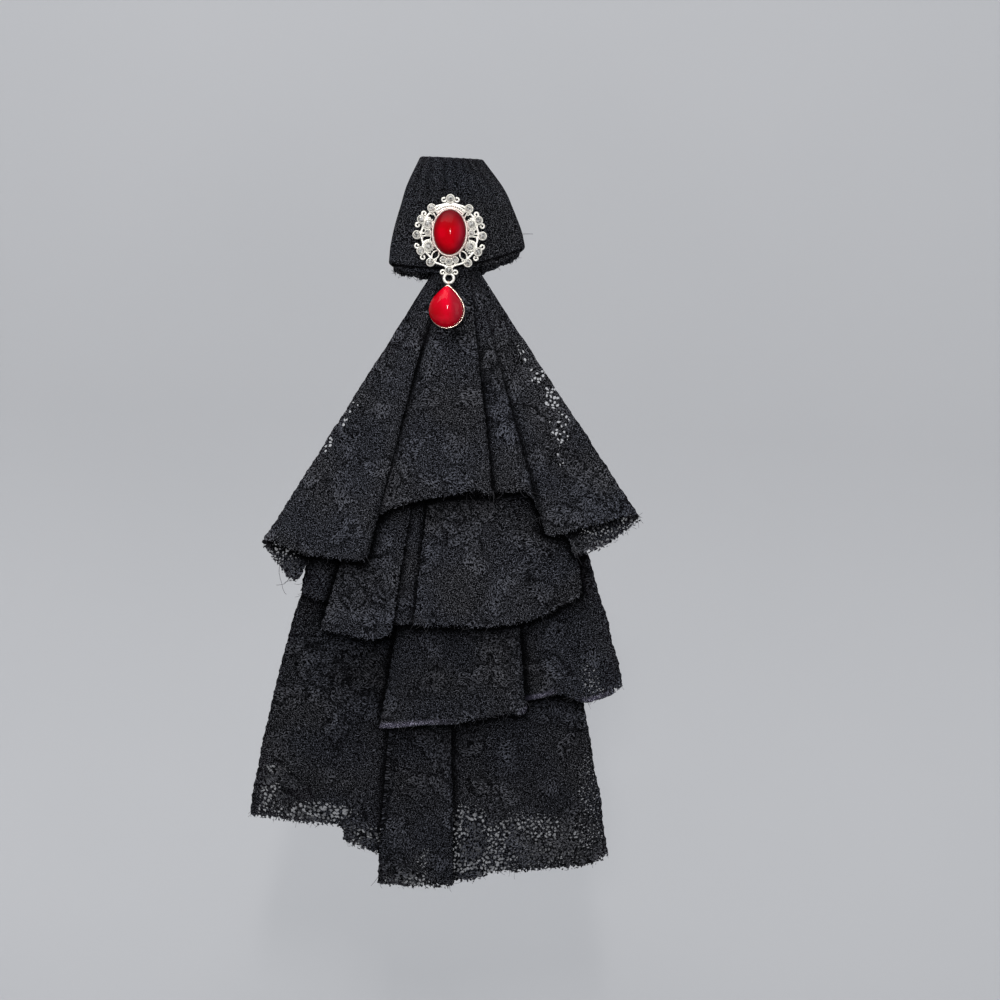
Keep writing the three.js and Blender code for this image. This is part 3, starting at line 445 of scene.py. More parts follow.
def add_plan(piece, plan):
    """Stores each point's place on the flat cloth, in millimetres, as a UV map."""
    layer = piece.data.uv_layers.new(name="flat_cloth")
    corners = np.empty(len(piece.data.loops), dtype=np.int32)
    piece.data.loops.foreach_get("vertex_index", corners)
    layer.data.foreach_set("uv", plan.reshape(-1, 2)[corners].astype(np.float32).ravel())


def lace_material():
    made, shader, start = new_material("black_lace", 0.9)
    shader.inputs["Specular IOR Level"].default_value = 0.03
    shader.inputs["Sheen Weight"].default_value = 0.0

    def stored(name):
        return start.node("Attribute", {"attribute_name": name}, output="Fac")

    def noise(vector, scale, detail=1.0):
        settings = {"noise_dimensions": "2D"}
        return start.node("TexNoise", settings, {"Vector": vector, "Scale": scale, "Detail": detail})

    place = start.node("UVMap", {"uv_map": "flat_cloth"})
    depth, tuck = stored("motif"), stored("tuck")
    openness, hem, selvage = stored("openness"), stored("hem"), stored("selvage")

    wander = start.node("TexNoise", None, {"Vector": place, "Scale": 0.5, "Detail": 1.0}, "Color")
    moved = start.node("VectorMath", {"operation": "SUBTRACT"}, {0: wander, 1: (0.5, 0.5, 0.5)})
    moved = start.node("VectorMath", {"operation": "MULTIPLY_ADD"}, {0: moved, 1: (1.8, 1.8, 0), 2: place})
    settings = {"feature": "DISTANCE_TO_EDGE", "voronoi_dimensions": "2D"}
    mesh_edge = start.node("TexVoronoi", settings, {"Vector": moved, "Scale": 1.4, "Randomness": 0.85})
    thread = 1 - mesh_edge.smooth(0.02, 0.26)

    grain = 0
    for k, turn in enumerate((0, 45, 90, 135)):
        inputs = {"Vector": moved, "Rotation": (0, 0, math.radians(turn)), "Scale": (1.0, 0.44, 1)}
        turned = start.node("Mapping", {"vector_type": "TEXTURE"}, inputs)
        grain = grain + noise(turned, 1.0, 0.0).smooth(0.4, 0.58) * stored("strokes_%d" % k)
    speck = noise(place, 2.3, 0.0).smooth(0.58, 0.74)
    cloud = noise(place, 0.06)
    patch = noise(place, 0.22).smooth(0.36, 0.62)

    inside = depth.smooth(-0.2, 0.4)
    line = (1 - depth.maths("ABSOLUTE").smooth(0.1, 0.7)) * (patch * 0.6 + 0.4)
    grain = grain * 0.8 + speck * 0.26
    cloth = grain + 0.06
    net = thread * (grain * 0.82 + 0.37) + 0.03
    height = inside * cloth + (1 - inside) * net
    height = height * (1 - line * 0.36)
    # Painted shade: the stored fold field darkens the tone among the folds and under the hems.
    tone = height * (cloud * 0.2 + 0.9) * (1 - tuck * 0.64)
    tone = tone * tone * tone

    tinge = noise(place, 0.035).smooth(0.3, 0.7)
    lit = tinge.mix((0.106, 0.108, 0.121, 1), (0.098, 0.104, 0.127, 1))
    black = tone.mix((0.0006, 0.0006, 0.0009, 1), lit)
    folded = tone.mix((0.02, 0.019, 0.03, 1), (0.36, 0.34, 0.44, 1))
    colour = selvage.mix(black, folded)

    dotted = openness.smooth(0.92, 1.0)
    inputs = {"Vector": moved, "Scale": 0.62, "Randomness": 0.8}
    from_dot = start.node("TexVoronoi", {"voronoi_dimensions": "2D"}, inputs)
    dot_pick = Tint(start.tree, from_dot.out.node.outputs["Color"])
    dots = (1 - from_dot.smooth(0.24, 0.38)) * dot_pick.smooth(0.47, 0.52)
    net_holes = (openness * 0.42 - from_dot).smooth(0, 0.07) * (1 - inside * 0.8) * (patch * 0.26 + 0.2)
    hole = net_holes * (1 - dotted) + (dots + openness.smooth(1.5, 1.8)).smooth(0, 1) * dotted
    streaks = noise(place, 0.9, 3.0)
    frayed = (streaks * 5.6 - 1.8 - hem).smooth(-0.2, 0.2)
    cover = (1 - hole) * (1 - frayed)
    rough = 0.95 - height * 0.1
    bump = start.node("Bump", None, {"Strength": 0.5, "Distance": 0.0005, "Height": height})
    feed(shader, Base_Color=colour, Alpha=cover, Roughness=rough, Normal=bump)
    return made


black_lace = lace_material()

# Sheer places: tier, x, z, half width, half height and power. A power above 1 gives round dots,
# and a lower one opens the net between the motifs.
SHEER = (
    ("tier_1", 16, -32, 2.5, 5, 1.3), ("tier_1", 31, -58, 4, 5, 1.3),
    ("tier_1", 38, -66, 4, 4, 1.3), ("tier_1", 45, -74, 5, 6, 1.3), ("tier_1", 48, -87, 5, 8, 1.3),
    ("tier_1", 47, -100, 4, 4, 1.3), ("tier_1", -35, -85, 3.5, 5, 1.3),
    ("tier_1", -40, -89, 3, 3, 1.3), ("tier_1", -45, -98, 3.5, 4, 1.3),
    ("tier_1", 72, -126, 14, 10, 0.6), ("tier_1", -62, -148, 9, 10, 0.75),
    ("tier_2", 48, -128, 8, 14, 0.5), ("tier_2", 52, -152, 9, 10, 0.7),
    ("tier_4", -62, -231, 9, 3, 0.75), ("tier_4", -66, -240, 10, 9, 0.72),
    ("tier_4", -42, -247, 17, 4, 0.9), ("tier_4", 20, -249, 9, 8, 0.85),
    ("tier_4", 20, -264, 20, 8, 0.85), ("tier_4", 46, -254, 26, 11, 0.72),
    ("tier_4", 70, -236, 8, 24, 0.45), ("tier_4", -24, -256, 10, 5, 0.8),
    ("tier_4", -4, -272, 10, 3, 0.9), ("tier_3", 70, -186, 8, 12, 0.5),
)
PATTERN_SHIFT = {"tier_1": (9, 20), "tier_2": (2, -4), "tier_3": (-30, 21), "tier_4": (16, 30)}
REAR_SHADE = {"tier_1": 0, "tier_2": 0, "tier_3": 0.13, "tier_4": 0.2}
SELVAGES = ((-13, -209, 22), (45, -196, 7), (68, -193, 6))
MAP_SIZE = (200, 330)
MAP_ORIGIN = (90, 290)


def soft_wrinkles(plan, seed):
    """Small heights that stand out of the folds, along the fall and a little across it."""
    wave = np.random.default_rng(seed)
    radius = np.hypot(plan[..., 0], plan[..., 1])
    turn = np.arctan2(plan[..., 0], -plan[..., 1])
    rise = np.zeros(radius.shape)
    for _ in range(9):
        pitch = wave.uniform(7, 22)
        lean = wave.uniform(-0.03, 0.03)
        phase = wave.uniform(0, 6.28)
        rise += np.sin(turn * 110 * 2 * np.pi / pitch + radius * lean + phase) * pitch / 22
    for _ in range(5):
        angle = wave.uniform(0, np.pi)
        pitch = wave.uniform(14, 30)
        way = plan[..., 0] * np.cos(angle) + plan[..., 1] * np.sin(angle)
        rise += 0.7 * np.sin(way * 2 * np.pi / pitch + wave.uniform(0, 6.28))
    return rise * 0.14 * np.clip(radius / 60, 0.25, 1)


def near(points, x, z, wide, high):
    """1 at a place in the front view and 0 outside an oval round it."""
    away = np.hypot((points[..., 0] - x) / wide, (points[..., 2] - z) / high)
    return np.clip(1.25 - away, 0, 1)


class Casting:
    """Collects the corners and faces of one piece, in millimetres."""

    def __init__(self):
        self.corners = []
        self.faces = []

    def add(self, corners, faces):
        start = len(self.corners)
        self.corners.extend(tuple(float(n) for n in corner) for corner in corners)
        self.faces.extend(tuple(start + k for k in face) for face in faces)

    def band(self, rings, closed_around=True, closed_along=False):
        """Faces between rings of points that have the same count."""
        rings = np.asarray(rings, dtype=float)
        count = rings.shape[1]
        last = len(rings) if closed_along else len(rings) - 1
        end = count if closed_around else count - 1
        faces = []
        for i in range(last):
            low, high = i * count, (i + 1) % len(rings) * count
            for k in range(end):
                n = (k + 1) % count
                faces.append((low + k, low + n, high + n, high + k))
        if not closed_along:
            faces.append(tuple(range(count - 1, -1, -1)))
            faces.append(tuple((len(rings) - 1) * count + k for k in range(count)))
        self.add(rings.reshape(-1, 3), faces)

    def wire(self, path, radius, sides=8, closed=False):
        """A round wire along points; radius is a number or one for each point."""
        path = np.asarray(path, dtype=float)
        radius = np.broadcast_to(radius, len(path))
        if closed:
            ahead = np.roll(path, -1, axis=0) - np.roll(path, 1, axis=0)
        else:
            ahead = np.gradient(path, axis=0)
        ahead /= np.linalg.norm(ahead, axis=1, keepdims=True)
        up = np.array((0.0, 0.0, 1.0))
        beside = np.cross(ahead, up)
        # A stretch that runs straight up has no side of its own, and no section may turn over
        beside[np.linalg.norm(beside, axis=1) < 1e-6] = (1.0, 0.0, 0.0)
        beside /= np.linalg.norm(beside, axis=1, keepdims=True)
        for k in range(1, len(beside)):
            if beside[k] @ beside[k - 1] < 0:
                beside[k] *= -1
        over = np.cross(beside, ahead)
        turn = np.linspace(0, 2 * np.pi, sides, endpoint=False)
        circle = beside[:, None] * np.cos(turn)[:, None] + over[:, None] * np.sin(turn)[:, None]
        self.band(path[:, None] + circle * radius[:, None, None], closed_along=closed)

    def grain(self, x, y, z, radius, sides=8):
        """A small round bead of metal."""
        rings = []
        for k in range(1, 5):
            polar = math.pi * k / 5
            turn = np.linspace(0, 2 * np.pi, sides, endpoint=False)
            wide = radius * math.sin(polar)
            rings.append(np.stack([
                x + wide * np.cos(turn),
                y + wide * np.sin(turn),
                np.full(sides, z - radius * math.cos(polar)),
            ], axis=-1))
        self.band(rings)

    def turned(self, x, y, lathe, sides=24, stretch=1.0):
        """A turned or oval form about a place, from (radius, height) points."""
        turn = np.linspace(0, 2 * np.pi, sides, endpoint=False)
        rings = [
            np.stack([
                x + radius * np.cos(turn),
                y + (radius + stretch - 1) * np.sin(turn),
                np.full(sides, height),
            ], axis=-1)
            for radius, height in lathe
        ]
        self.band(rings)

    def piece(self, name, place, smooth=True):
        mesh = bpy.data.meshes.new(name)
        mesh.from_pydata(self.corners, [], self.faces)
        mesh.polygons.foreach_set("use_smooth", [smooth] * len(mesh.polygons))
        mesh.transform(place)
        made = bpy.data.objects.new(name, mesh)
        bpy.context.collection.objects.link(made)
        return made


def map_cell(points, right=0.0, up=0.0):
    """The square millimetre of the front view that each point lies in, once moved right and up."""
    column = (points[..., 0] + MAP_ORIGIN[0] + right).astype(int)
    row = (points[..., 2] + MAP_ORIGIN[1] + up).astype(int)
    return np.clip(column, 0, MAP_SIZE[0] - 1), np.clip(row, 0, MAP_SIZE[1] - 1)


def front_map(surfaces):
    """How far forward the cloth stands in each square millimetre of the front view."""
    reach = np.full(MAP_SIZE, 99.0)
    for points in surfaces:
        np.minimum.at(reach, map_cell(points), points[..., 1])
    return reach


def tucked(points, reach):
    """Painted shade for each point, from 0 to 1: how deep it lies among the folds that stand before it,
    less where it lies hidden well behind them.
    """
    total = np.zeros(points.shape[:2])
    seen = np.full(points.shape[:2], -99.0)
    for radius, share in ((1.2, 0.48), (2.4, 0.34), (5.0, 0.18)):
        for turn in np.linspace(0, 2 * np.pi, 12, endpoint=False):
            beside = reach[map_cell(points, radius * np.cos(turn), radius * np.sin(turn))]
            ahead = points[..., 1] - beside - 0.25
            total += share / 12 * np.clip(ahead / radius, 0, 1)
            if radius < 3:
                seen = np.maximum(seen, beside)
    hidden = np.clip(points[..., 1] - seen - 0.6, 0, 1)
    return np.clip(total * 2.3, 0, 1) * (1 - 0.9 * hidden)


surfaces = {name: tier_surface(size, FOLDS[name]) for name, size in TIERS.items()}
forward_reach = front_map(surfaces.values())
loose_threads = Casting()
draw = np.random.default_rng(12)


def loose_thread(start, heading, length, curl, thick=0.1):
    """A fine thread that leaves a place along a heading in the front view and curls."""
    place = np.array(start, dtype=float)
    path = [place.copy()]
    way = math.radians(heading)
    lean = draw.uniform(-0.5, 0.5)
    steps = max(4, int(length / 0.8))
    for _ in range(steps):
        step = np.array((math.cos(way), -0.25 * lean, math.sin(way)))
        place += step * length / steps
        path.append(place.copy())
        way += curl / steps + draw.normal(0, 0.12)
    loose_threads.wire(path, np.linspace(thick, thick * 0.6, len(path)), 4)


def hand_over(piece, material, body, slot, *stands_for):
    """Dresses a piece, sets the body it rides on and hides the solids it stands for. The slot is not used.
    """
    piece.data.materials.append(material)
    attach(piece, body)
    if stands_for:
        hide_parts(*stands_for)


for number, (name, size) in enumerate(TIERS.items()):
    surface = surfaces[name]
    plan, flat_area, hem_distance = cut_plan(surface)
    tuck = tucked(surface, forward_reach)
    rise = soft_wrinkles(plan, number + 3)
    gathers = np.exp(-np.maximum(np.hypot(plan[..., 0], plan[..., 1]) - PLAN_START, 0) / 16)
    columns = np.linspace(0, 1, surface.shape[1])
    rise = rise + 0.35 * gathers * np.sin(columns * 2 * np.pi * 17)
    surface = surface + grid_normals(surface) * rise[..., None]
    tier = grid_mesh(name + "_lace", surface * MM)
    motif, way = lace_pattern(plan[..., 0], plan[..., 1], PATTERN_SHIFT[name])
    openness = np.full(motif.shape, 0.0)
    for owner, x, z, wide, high, power in SHEER:
        if owner == name:
            openness = np.maximum(openness, power * np.minimum(2 * near(surface, x, z, wide, high), 1))
    behind = surface[..., 1] > forward_reach[map_cell(surface)] + 0.6
    openness = np.where(behind & (openness > 0.95), 2, openness)
    selvage = np.zeros(motif.shape)
    if name == "tier_3":
        turned_up = np.clip(2.6 - hem_distance, 0, 1) * np.clip(hem_distance, 0, 1)
        for x, z, wide in SELVAGES:
            selvage = np.maximum(selvage, turned_up * near(surface, x, z, wide, 12))
    hem = np.where(selvage > 0.01, 9, hem_distance)
    # Painted shade: the fold shade, with an even painted shade over the rear tiers.
    shade = REAR_SHADE[name]
    add_strokes(tier, way)
    add_fields(tier, motif=motif, openness=openness, hem=hem, selvage=selvage)
    add_fields(tier, tuck=shade + (1 - shade) * tuck)
    add_plan(tier, plan)
    for _ in range(80):
        column = draw.integers(2, surface.shape[1] - 2)
        row = surface[-3 - draw.integers(1, 3), column]
        if row[1] > forward_reach[map_cell(row)] + 2.5:
            continue
        loose_thread(row, draw.normal(-90, 34), draw.uniform(2.8, 5.6), draw.normal(0, 1.2), 0.085)
    flat_size = (plan.reshape(-1, 2).max(axis=0) - plan.reshape(-1, 2).min(axis=0)) * MM
    flat_area *= MM * MM
    hand_over(tier, black_lace, "jabot", "black_lace", name)

# Knot
# A wide piece of the same lace, doubled, drawn in at the top and wrapped round the gathered
# tiers as a flat bell. It is sewn behind, and both its rims are rolled in.

KNOT = {"top": 20.2, "width": 54, "drop": 42.2, "depth": 12.6, "rim_sag": 5.3, "back_drop": 2}
KNOT_BACK = -2.2
SQUARENESS = 3
KNOT_ROWS, KNOT_COLUMNS = 150, 330

# Sections from the top: fall at the left and right, left and right ends, depth and sag, as shares
SECTIONS = np.array((
    (0.0, 0.0, -0.322, 0.167, 0.52, 0),
    (0.28, 0.27, -0.408, 0.333, 0.74, 0.05),
    (0.46, 0.45, -0.441, 0.404, 0.86, 0.1),
    (0.65, 0.63, -0.477, 0.468, 0.92, 0.25),
    (0.84, 0.73, -0.502, 0.494, 0.93, 0.6),
    (1.0, 0.785, -0.508, 0.505, 1.0, 1),
))


def knot_surface(rows, columns):
    down = curve_through(SECTIONS[None], [rows // 5] * 5)[0][:, :, None]
    left_fall, right_fall, left, right, depth, sag = np.moveaxis(down, 1, 0)
    angle = np.linspace(0, 2 * np.pi, columns, endpoint=False)[None]
    cosine, forward = np.cos(angle), -np.sin(angle)
    power = 2 / SQUARENESS
    left = GATHER[0] + left * KNOT["width"]
    right = GATHER[0] + right * KNOT["width"]
    x = (left + right) / 2 + (right - left) / 2 * np.sign(cosine) * np.abs(cosine) ** power
    share = (x - left) / (right - left)
    arch = np.sin(np.pi * np.clip(share, 0, 1)) ** 0.8
    fallen = left_fall + (right_fall - left_fall) * share
    rear = (1 - forward) / 2 * KNOT["back_drop"] * sag
    swell = 1 + np.sign(forward) * np.abs(forward) ** power
    y = KNOT_BACK - depth * KNOT["depth"] / 2 * swell
    z = KNOT["top"] - fallen * KNOT["drop"] - KNOT["rim_sag"] * sag * arch - rear
    front = np.clip(forward, 0, 1) ** 0.6
    top = 1 - np.linspace(0, 1, down.shape[0])[:, None]
    valley = np.sin(2 * np.pi * 8 * share + 1.1 + 1.6 * np.sin(share * 9) + z * 0.04) * 0.5 + 0.5
    pleats = valley * 0.6 * top + 0.25 * np.sin(share * 61 + z * 0.06) * top**0.4
    y = y + front * pleats
    # The second result is painted shade in the pleat valleys, strongest near the top.
    return np.stack([x, y, z], axis=-1), front * valley**2 * top**1.2


knot_points, valley_shade = knot_surface(KNOT_ROWS, KNOT_COLUMNS)
rim_steps = np.roll(knot_points, -1, axis=1) - np.roll(knot_points, 1, axis=1)
rim_inward = np.stack([rim_steps[..., 1], -rim_steps[..., 0], 0 * rim_steps[..., 0]], axis=-1)
rim_inward /= np.linalg.norm(rim_inward, axis=-1, keepdims=True)
towards = knot_points.mean(axis=1, keepdims=True) - knot_points
if (rim_inward[-1] * towards[-1]).sum() < 0:
    rim_inward = -rim_inward


def rim_rows(edge, inward, places):
    """Rows of cloth at (inward, down) places beside an edge, in millimetres."""
    return np.array([
        edge + inward * deep + np.array((0, 0, -low)) * ragged for deep, low, ragged in places
    ])


around_turn = np.linspace(0, 2 * np.pi, KNOT_COLUMNS, endpoint=False)
ragged_rim = 1 + 0.1 * np.sin(around_turn * 11) + 0.07 * np.sin(around_turn * 29 + 1)
ragged_rim += 0.05 * np.sin(around_turn * 67 + 2)
ragged_rim = ragged_rim[:, None] + draw.normal(0, 0.04, (KNOT_COLUMNS, 1))
foot = rim_rows(knot_points[-1], rim_inward[-1], (
    (0.1, 0.35, 1), (0.4, 0.65, 1), (0.8, 0.7, 1), (1.2, 0.45, 1), (1.4, 0, 1), (1.4, -1, 1), (1.5, -2, 1),
    (1.8, -2.6, 1), (2.1, -2, 1), (2.1, -1, 1), (2.1, 0.4, ragged_rim), (2.0, 1.2, ragged_rim),
    (1.9, 1.9, ragged_rim), (1.9, 2.4, ragged_rim), (2.1, 2.8, ragged_rim), (2.5, 3.0, ragged_rim),
    (3.0, 2.8, ragged_rim), (3.3, 2.3, ragged_rim), (3.4, 1.4, ragged_rim), (3.4, 0.4, 1),
))
crown = rim_rows(knot_points[0], rim_inward[0], (
    (2.2, 5.0, 1), (2.1, 3.0, 1), (1.9, 1.5, 1), (1.7, 0.4, 1), (1.3, -0.4, 1), (0.8, -0.7, 1),
    (0.3, -0.4, 1),
))
knot_all = np.concatenate([crown, knot_points, foot])
knot = grid_mesh("knot_lace", knot_all * MM, join_columns=True)
around = np.linalg.norm(np.diff(knot_all, axis=1, append=knot_all[:, :1]), axis=-1)
middle_row = len(crown) + 110
across_cloth = np.cumsum(around[middle_row]) - around[middle_row].sum() / 2
down_steps = np.linalg.norm(np.diff(knot_all, axis=0, prepend=knot_all[:1]), axis=-1)
below = np.cumsum(down_steps, axis=0)
knot_plan = np.stack([np.broadcast_to(across_cloth, below.shape), -below], axis=-1)
# Painted shade on the knot: a little over the main cloth, more in the pleat valleys, and darkest on the
# rows that turn in under the rolled foot.
shadow = np.zeros(knot_all.shape[:2])
shadow[len(crown):-len(foot)] = 0.1 + 0.3 * valley_shade
shadow[-len(foot) + 3:-len(foot) + 10] = 1
shadow[-len(foot) + 10:-len(foot) + 12] = 0.7
lean = 0.5 * np.sin(knot_plan[..., 0] * 0.13)
lean = lean + 0.4 * np.sin(knot_plan[..., 1] * 0.2 + knot_plan[..., 0] * 0.05)
knot_open = 0.9 * near(knot_all, 26.5, -6, 2, 8) + 0.9 * near(knot_all, -22.5, -6, 1.5, 6)
add_strokes(knot, 1.57 + lean)
add_fields(knot, motif=np.full(shadow.shape, -2), openness=knot_open, tuck=shadow)
add_fields(knot, hem=np.full(shadow.shape, 9), selvage=np.zeros(shadow.shape))
add_plan(knot, knot_plan)
hand_over(knot, black_lace, "jabot", "black_lace", "knot")

# Loose threads
# Short ends of black thread, and a few long ones, that stand out of the raw hems and the knot.

RIM_ROW = 16
RIM_FRONT = -8
rim_front = foot[RIM_ROW][foot[RIM_ROW][:, 1] < RIM_FRONT]
for across, heading, length, curl in (
    (-14.5, -80, 3.6, 1.5),
    (-12.5, -60, 4.2, -1.2),
    (15.5, -75, 4.0, -1.8),
    (17.5, -20, 4.5, -0.6),
):
    nearest = np.argmin(np.abs(rim_front[:, 0] - across))
    loose_thread(rim_front[nearest], heading, length, curl, 0.11)
for start, heading, length, curl in (
    ((29, -10, -9), 10, 4.5, -0.5),
    ((-60.4, -23.8, -146.6), -100, 13, 1.1),
    ((-57, -23.2, -149.5), -70, 9, -2.2),
    ((80.5, -25, -119.5), -150, 6, 2.2),
):
    loose_thread(start, heading, length, curl, 0.11)
for _ in range(70):
    k = draw.integers(0, KNOT_COLUMNS)
    loose_thread(foot[15, k], draw.normal(-90, 50), draw.uniform(0.8, 2.0), draw.normal(0, 1.5), 0.08)
threads = loose_threads.piece("loose_threads", Matrix.Scale(MM, 4))
thread_black, thread_shader, thread_place = solid_material("black_thread", 0.9)
thread_twist = thread_place.noise(2500.0)
feed(thread_shader, Base_Color=thread_twist.mix((0.002, 0.002, 0.003, 1), (0.03, 0.03, 0.036, 1)))
hand_over(threads, thread_black, "jabot", "black_lace")

# Hidden pin
# A plain steel bar pin behind the knot, with room for cloth between its bar and its needle.

pin_steel, pin_shader, pin_place = solid_material("pin_steel", 0.3, 1.0)
stretched = pin_place.node("Mapping", None, {"Vector": pin_place, "Scale": (60, 900, 900)})
pin_grain = stretched.noise(1.0, 3.0)
feed(pin_shader, Base_Color=pin_grain.mix((0.5, 0.49, 0.47, 1), (0.72, 0.7, 0.67, 1)))
feed(pin_shader, Roughness=pin_grain * 0.25 + 0.2)
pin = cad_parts["collar_pin"]
pin.material_slots[0].material = pin_steel

# Brooch frame
# One casting in a bright silver-coloured metal: an oval bezel with a grained edge, a scalloped
# rim, scroll curls, four grained paisleys and round cups. It is pinned to the knot.

PLATE_BACK = 0.0151
OVAL_HEIGHT = 0.0106
BROOCH_PLACE = (Matrix.Translation((0, -PLATE_BACK, -0.0114))
                @ Matrix.Rotation(math.radians(-1.8), 4, "Y")
                @ Matrix.Rotation(math.radians(90), 4, "X")
                @ Matrix.Scale(MM, 4))
CUP_OVAL = (13.2, 14.5)
STONE = 1.25
STONE_SIDES = 8

# Outer cups: degrees and reach. Inner cups: x, y and size. Curls: cup, direction and way of turning.
OUTER_CUPS = (
    (90, 1.0), (51.9, 0.92), (25.0, 0.96), (-1.4, 1.0), (-28.2, 0.984), (-53.8, 0.962), (-90, 1.0)
)
INNER_CUPS = (
    (0.655, 0.29, 1.08), (0.665, 0.05, 0.7), (0.63, -0.33, 1.08), (0.185, -0.7, 0.72), (0.0, -0.745, 0.78)
)
CURLS = ((0, -11, 1), (2, 109, 1), (2, -53, -1), (4, 48, 1), (4, -105, -1), (6, -10, -1))
RIM = (11.35, 12.65)
CABOCHON_RISE = 0.8
WIRE_LEVEL = 0.55


def on_oval(half, degrees, rise=0.0):
    turn = math.radians(degrees)
    return half[0] * math.cos(turn), half[1] * math.sin(turn) + rise


def both_sides(places):
    """Each place on the left and the right, and once where it lies in the middle."""
    return [(side * x, *rest) for x, *rest in places for side in ((-1, 1) if abs(x) > 1e-6 else (1,))]


outer_places = both_sides([
    (*on_oval((CUP_OVAL[0] * reach, CUP_OVAL[1] * reach), degrees), STONE)
    for degrees, reach in OUTER_CUPS
])
inner_places = both_sides([(CUP_OVAL[0] * x, CUP_OVAL[1] * y, STONE * size) for x, y, size in INNER_CUPS])
outer_places = [(0.0 if abs(x) < 1e-6 else x, y, stone) for x, y, stone in outer_places]

frame_cast = Casting()


def cup_lathe(stone):
    inside = stone + 0.16
    outside = inside + 0.36
    return (
        (inside - 0.1, 0.02), (outside, 0.0), (outside, 1.55), (outside - 0.05, 1.85),
        (outside - 0.16, 2.0), (inside + 0.05, 1.96), (inside, 1.7), (inside, 0.85),
        (inside * 0.4, 0.85),
    )


for x, y, stone in outer_places + inner_places:
    frame_cast.turned(x, y, cup_lathe(stone))

# Bezel: a raised oval wall with a grained edge, on a plate that rests on the knot
seat_half = (6.65, 9.15)
wall = seat_half[0] + 0.6
long_by = 1 + seat_half[1] - seat_half[0]
frame_cast.turned(0, CABOCHON_RISE, (
    (wall - 0.8, -0.88), (wall - 0.1, -0.86), (wall + 0.05, -0.6), (wall + 0.05, 1.2), (wall - 0.1, 2.2),
    (wall - 0.2, 2.55), (wall - 0.42, 2.66), (seat_half[0] - 0.1, 2.5), (seat_half[0] - 0.02, 1.1),
    (seat_half[0] - 2, 1.05),
), 72, long_by)
for k in range(76):
    x, y = on_oval((wall - 0.28, wall - 0.28 + long_by - 1), 360 * k / 76, CABOCHON_RISE)
    frame_cast.grain(x, y, 2.62, 0.27, 6)

# Rim: a wire that dips between the cups
rim_turns = np.linspace(0, 360, 145)[:-1]
scallop = 0.16 * np.cos(np.radians(rim_turns * 12))
frame_cast.wire([
    (*on_oval((RIM[0] + s, RIM[1] + s), t), WIRE_LEVEL) for t, s in zip(rim_turns, scallop)
], 0.45, closed=True)


def hook(start, heading, turn_way, radius, thick, sweep=265, stem=0.0):
    """A scroll that leaves a place along a heading, and curls in to a bead."""
    x, y = start
    way = math.radians(heading)
    path = []
    for k in range(4):
        path.append((x + stem * k / 4 * math.cos(way), y + stem * k / 4 * math.sin(way), WIRE_LEVEL))
    x, y = x + stem * math.cos(way), y + stem * math.sin(way)
    middle = (x - turn_way * radius * math.sin(way), y + turn_way * radius * math.cos(way))
    steps = 18
    for k in range(steps + 1):
        share = k / steps
        angle = way - turn_way * math.pi / 2 + turn_way * math.radians(sweep) * share
        tight = radius * (1 - 0.42 * share)
        level = WIRE_LEVEL + 0.15 * share
        path.append((middle[0] + tight * math.cos(angle), middle[1] + tight * math.sin(angle), level))
    path = path if stem else path[4:]
    frame_cast.wire(path, np.linspace(thick, thick * 0.75, len(path)), 7)
    frame_cast.grain(*path[-1], thick * 1.25, 8)


for cup, direction, turn_way in CURLS:
    degrees, reach = OUTER_CUPS[cup]
    x, y = on_oval((CUP_OVAL[0] * reach, CUP_OVAL[1] * reach), degrees)
    way = math.radians(direction)
    for side in (-1, 1):
        start = (side * (x + 1.7 * math.cos(way)), y + 1.7 * math.sin(way))
        heading = direction - turn_way * 78
        heading = heading if side > 0 else 180 - heading
        hook(start, heading, turn_way * side, 1.0, 0.42, 290)

# Stems from the bezel to each cup, and small hooks beside them inside the rim
for x, y, stone in outer_places:
    way = math.atan2(y - CABOCHON_RISE, x)
    reach = math.hypot(x, y - CABOCHON_RISE)
    near_bezel = 0.93 / math.hypot(
        math.cos(way) / (wall + 0.4), math.sin(way) / (wall + long_by - 0.6)
    )
    side_x, side_y = -math.sin(way), math.cos(way)
    for side in (-1, 1):
        path = []
        for k in range(9):
            share = k / 8
            out = near_bezel + (reach - 1.5 - near_bezel) * share
            apart = side * (0.95 - 1.1 * share + 0.75 * share * share)
            if y < -9:
                apart = side * (0.3 + 1.05 * math.sin(math.pi * share))
            path.append((
                out * math.cos(way) + apart * side_x,
                CABOCHON_RISE + out * math.sin(way) + apart * side_y,
                0.6,
            ))
        frame_cast.wire(path, 0.29, 7)
        edge = reach - 2.45
        start = (
            edge * math.cos(way) + side * 0.8 * side_x,
            CABOCHON_RISE + edge * math.sin(way) + side * 0.8 * side_y,
        )
        hook(start, math.degrees(way) + side * 62, -side, 0.55, 0.29, 240, 0.5)

# Four paisleys, each a stone in a ring of grains with a grained tail along the bezel
for x, y, tail_way in both_sides([(8.6, 4.2, -1), (8.3, -4.8, 1)]):
    side = 1 if x > 0 else -1
    outline = []
    for k in range(15):
        angle = math.radians(k * 24)
        outline.append((x + 2.12 * math.cos(angle), y + 2.12 * math.sin(angle)))
    for k in range(5):
        outline.append((x - side * (0.5 + 0.12 * k), y + tail_way * (2.3 + 0.62 * k)))
    for k, (gx, gy) in enumerate(outline):
        frame_cast.grain(gx, gy, 1.15, 0.34 - 0.02 * max(0, k - 14), 8)
    frame_cast.wire([
        (x + side * 2.55 * math.cos(math.radians(a)), y + 2.55 * math.sin(math.radians(a)), 0.7)
        for a in range(-110, 111, 12)
    ], 0.32, 7)

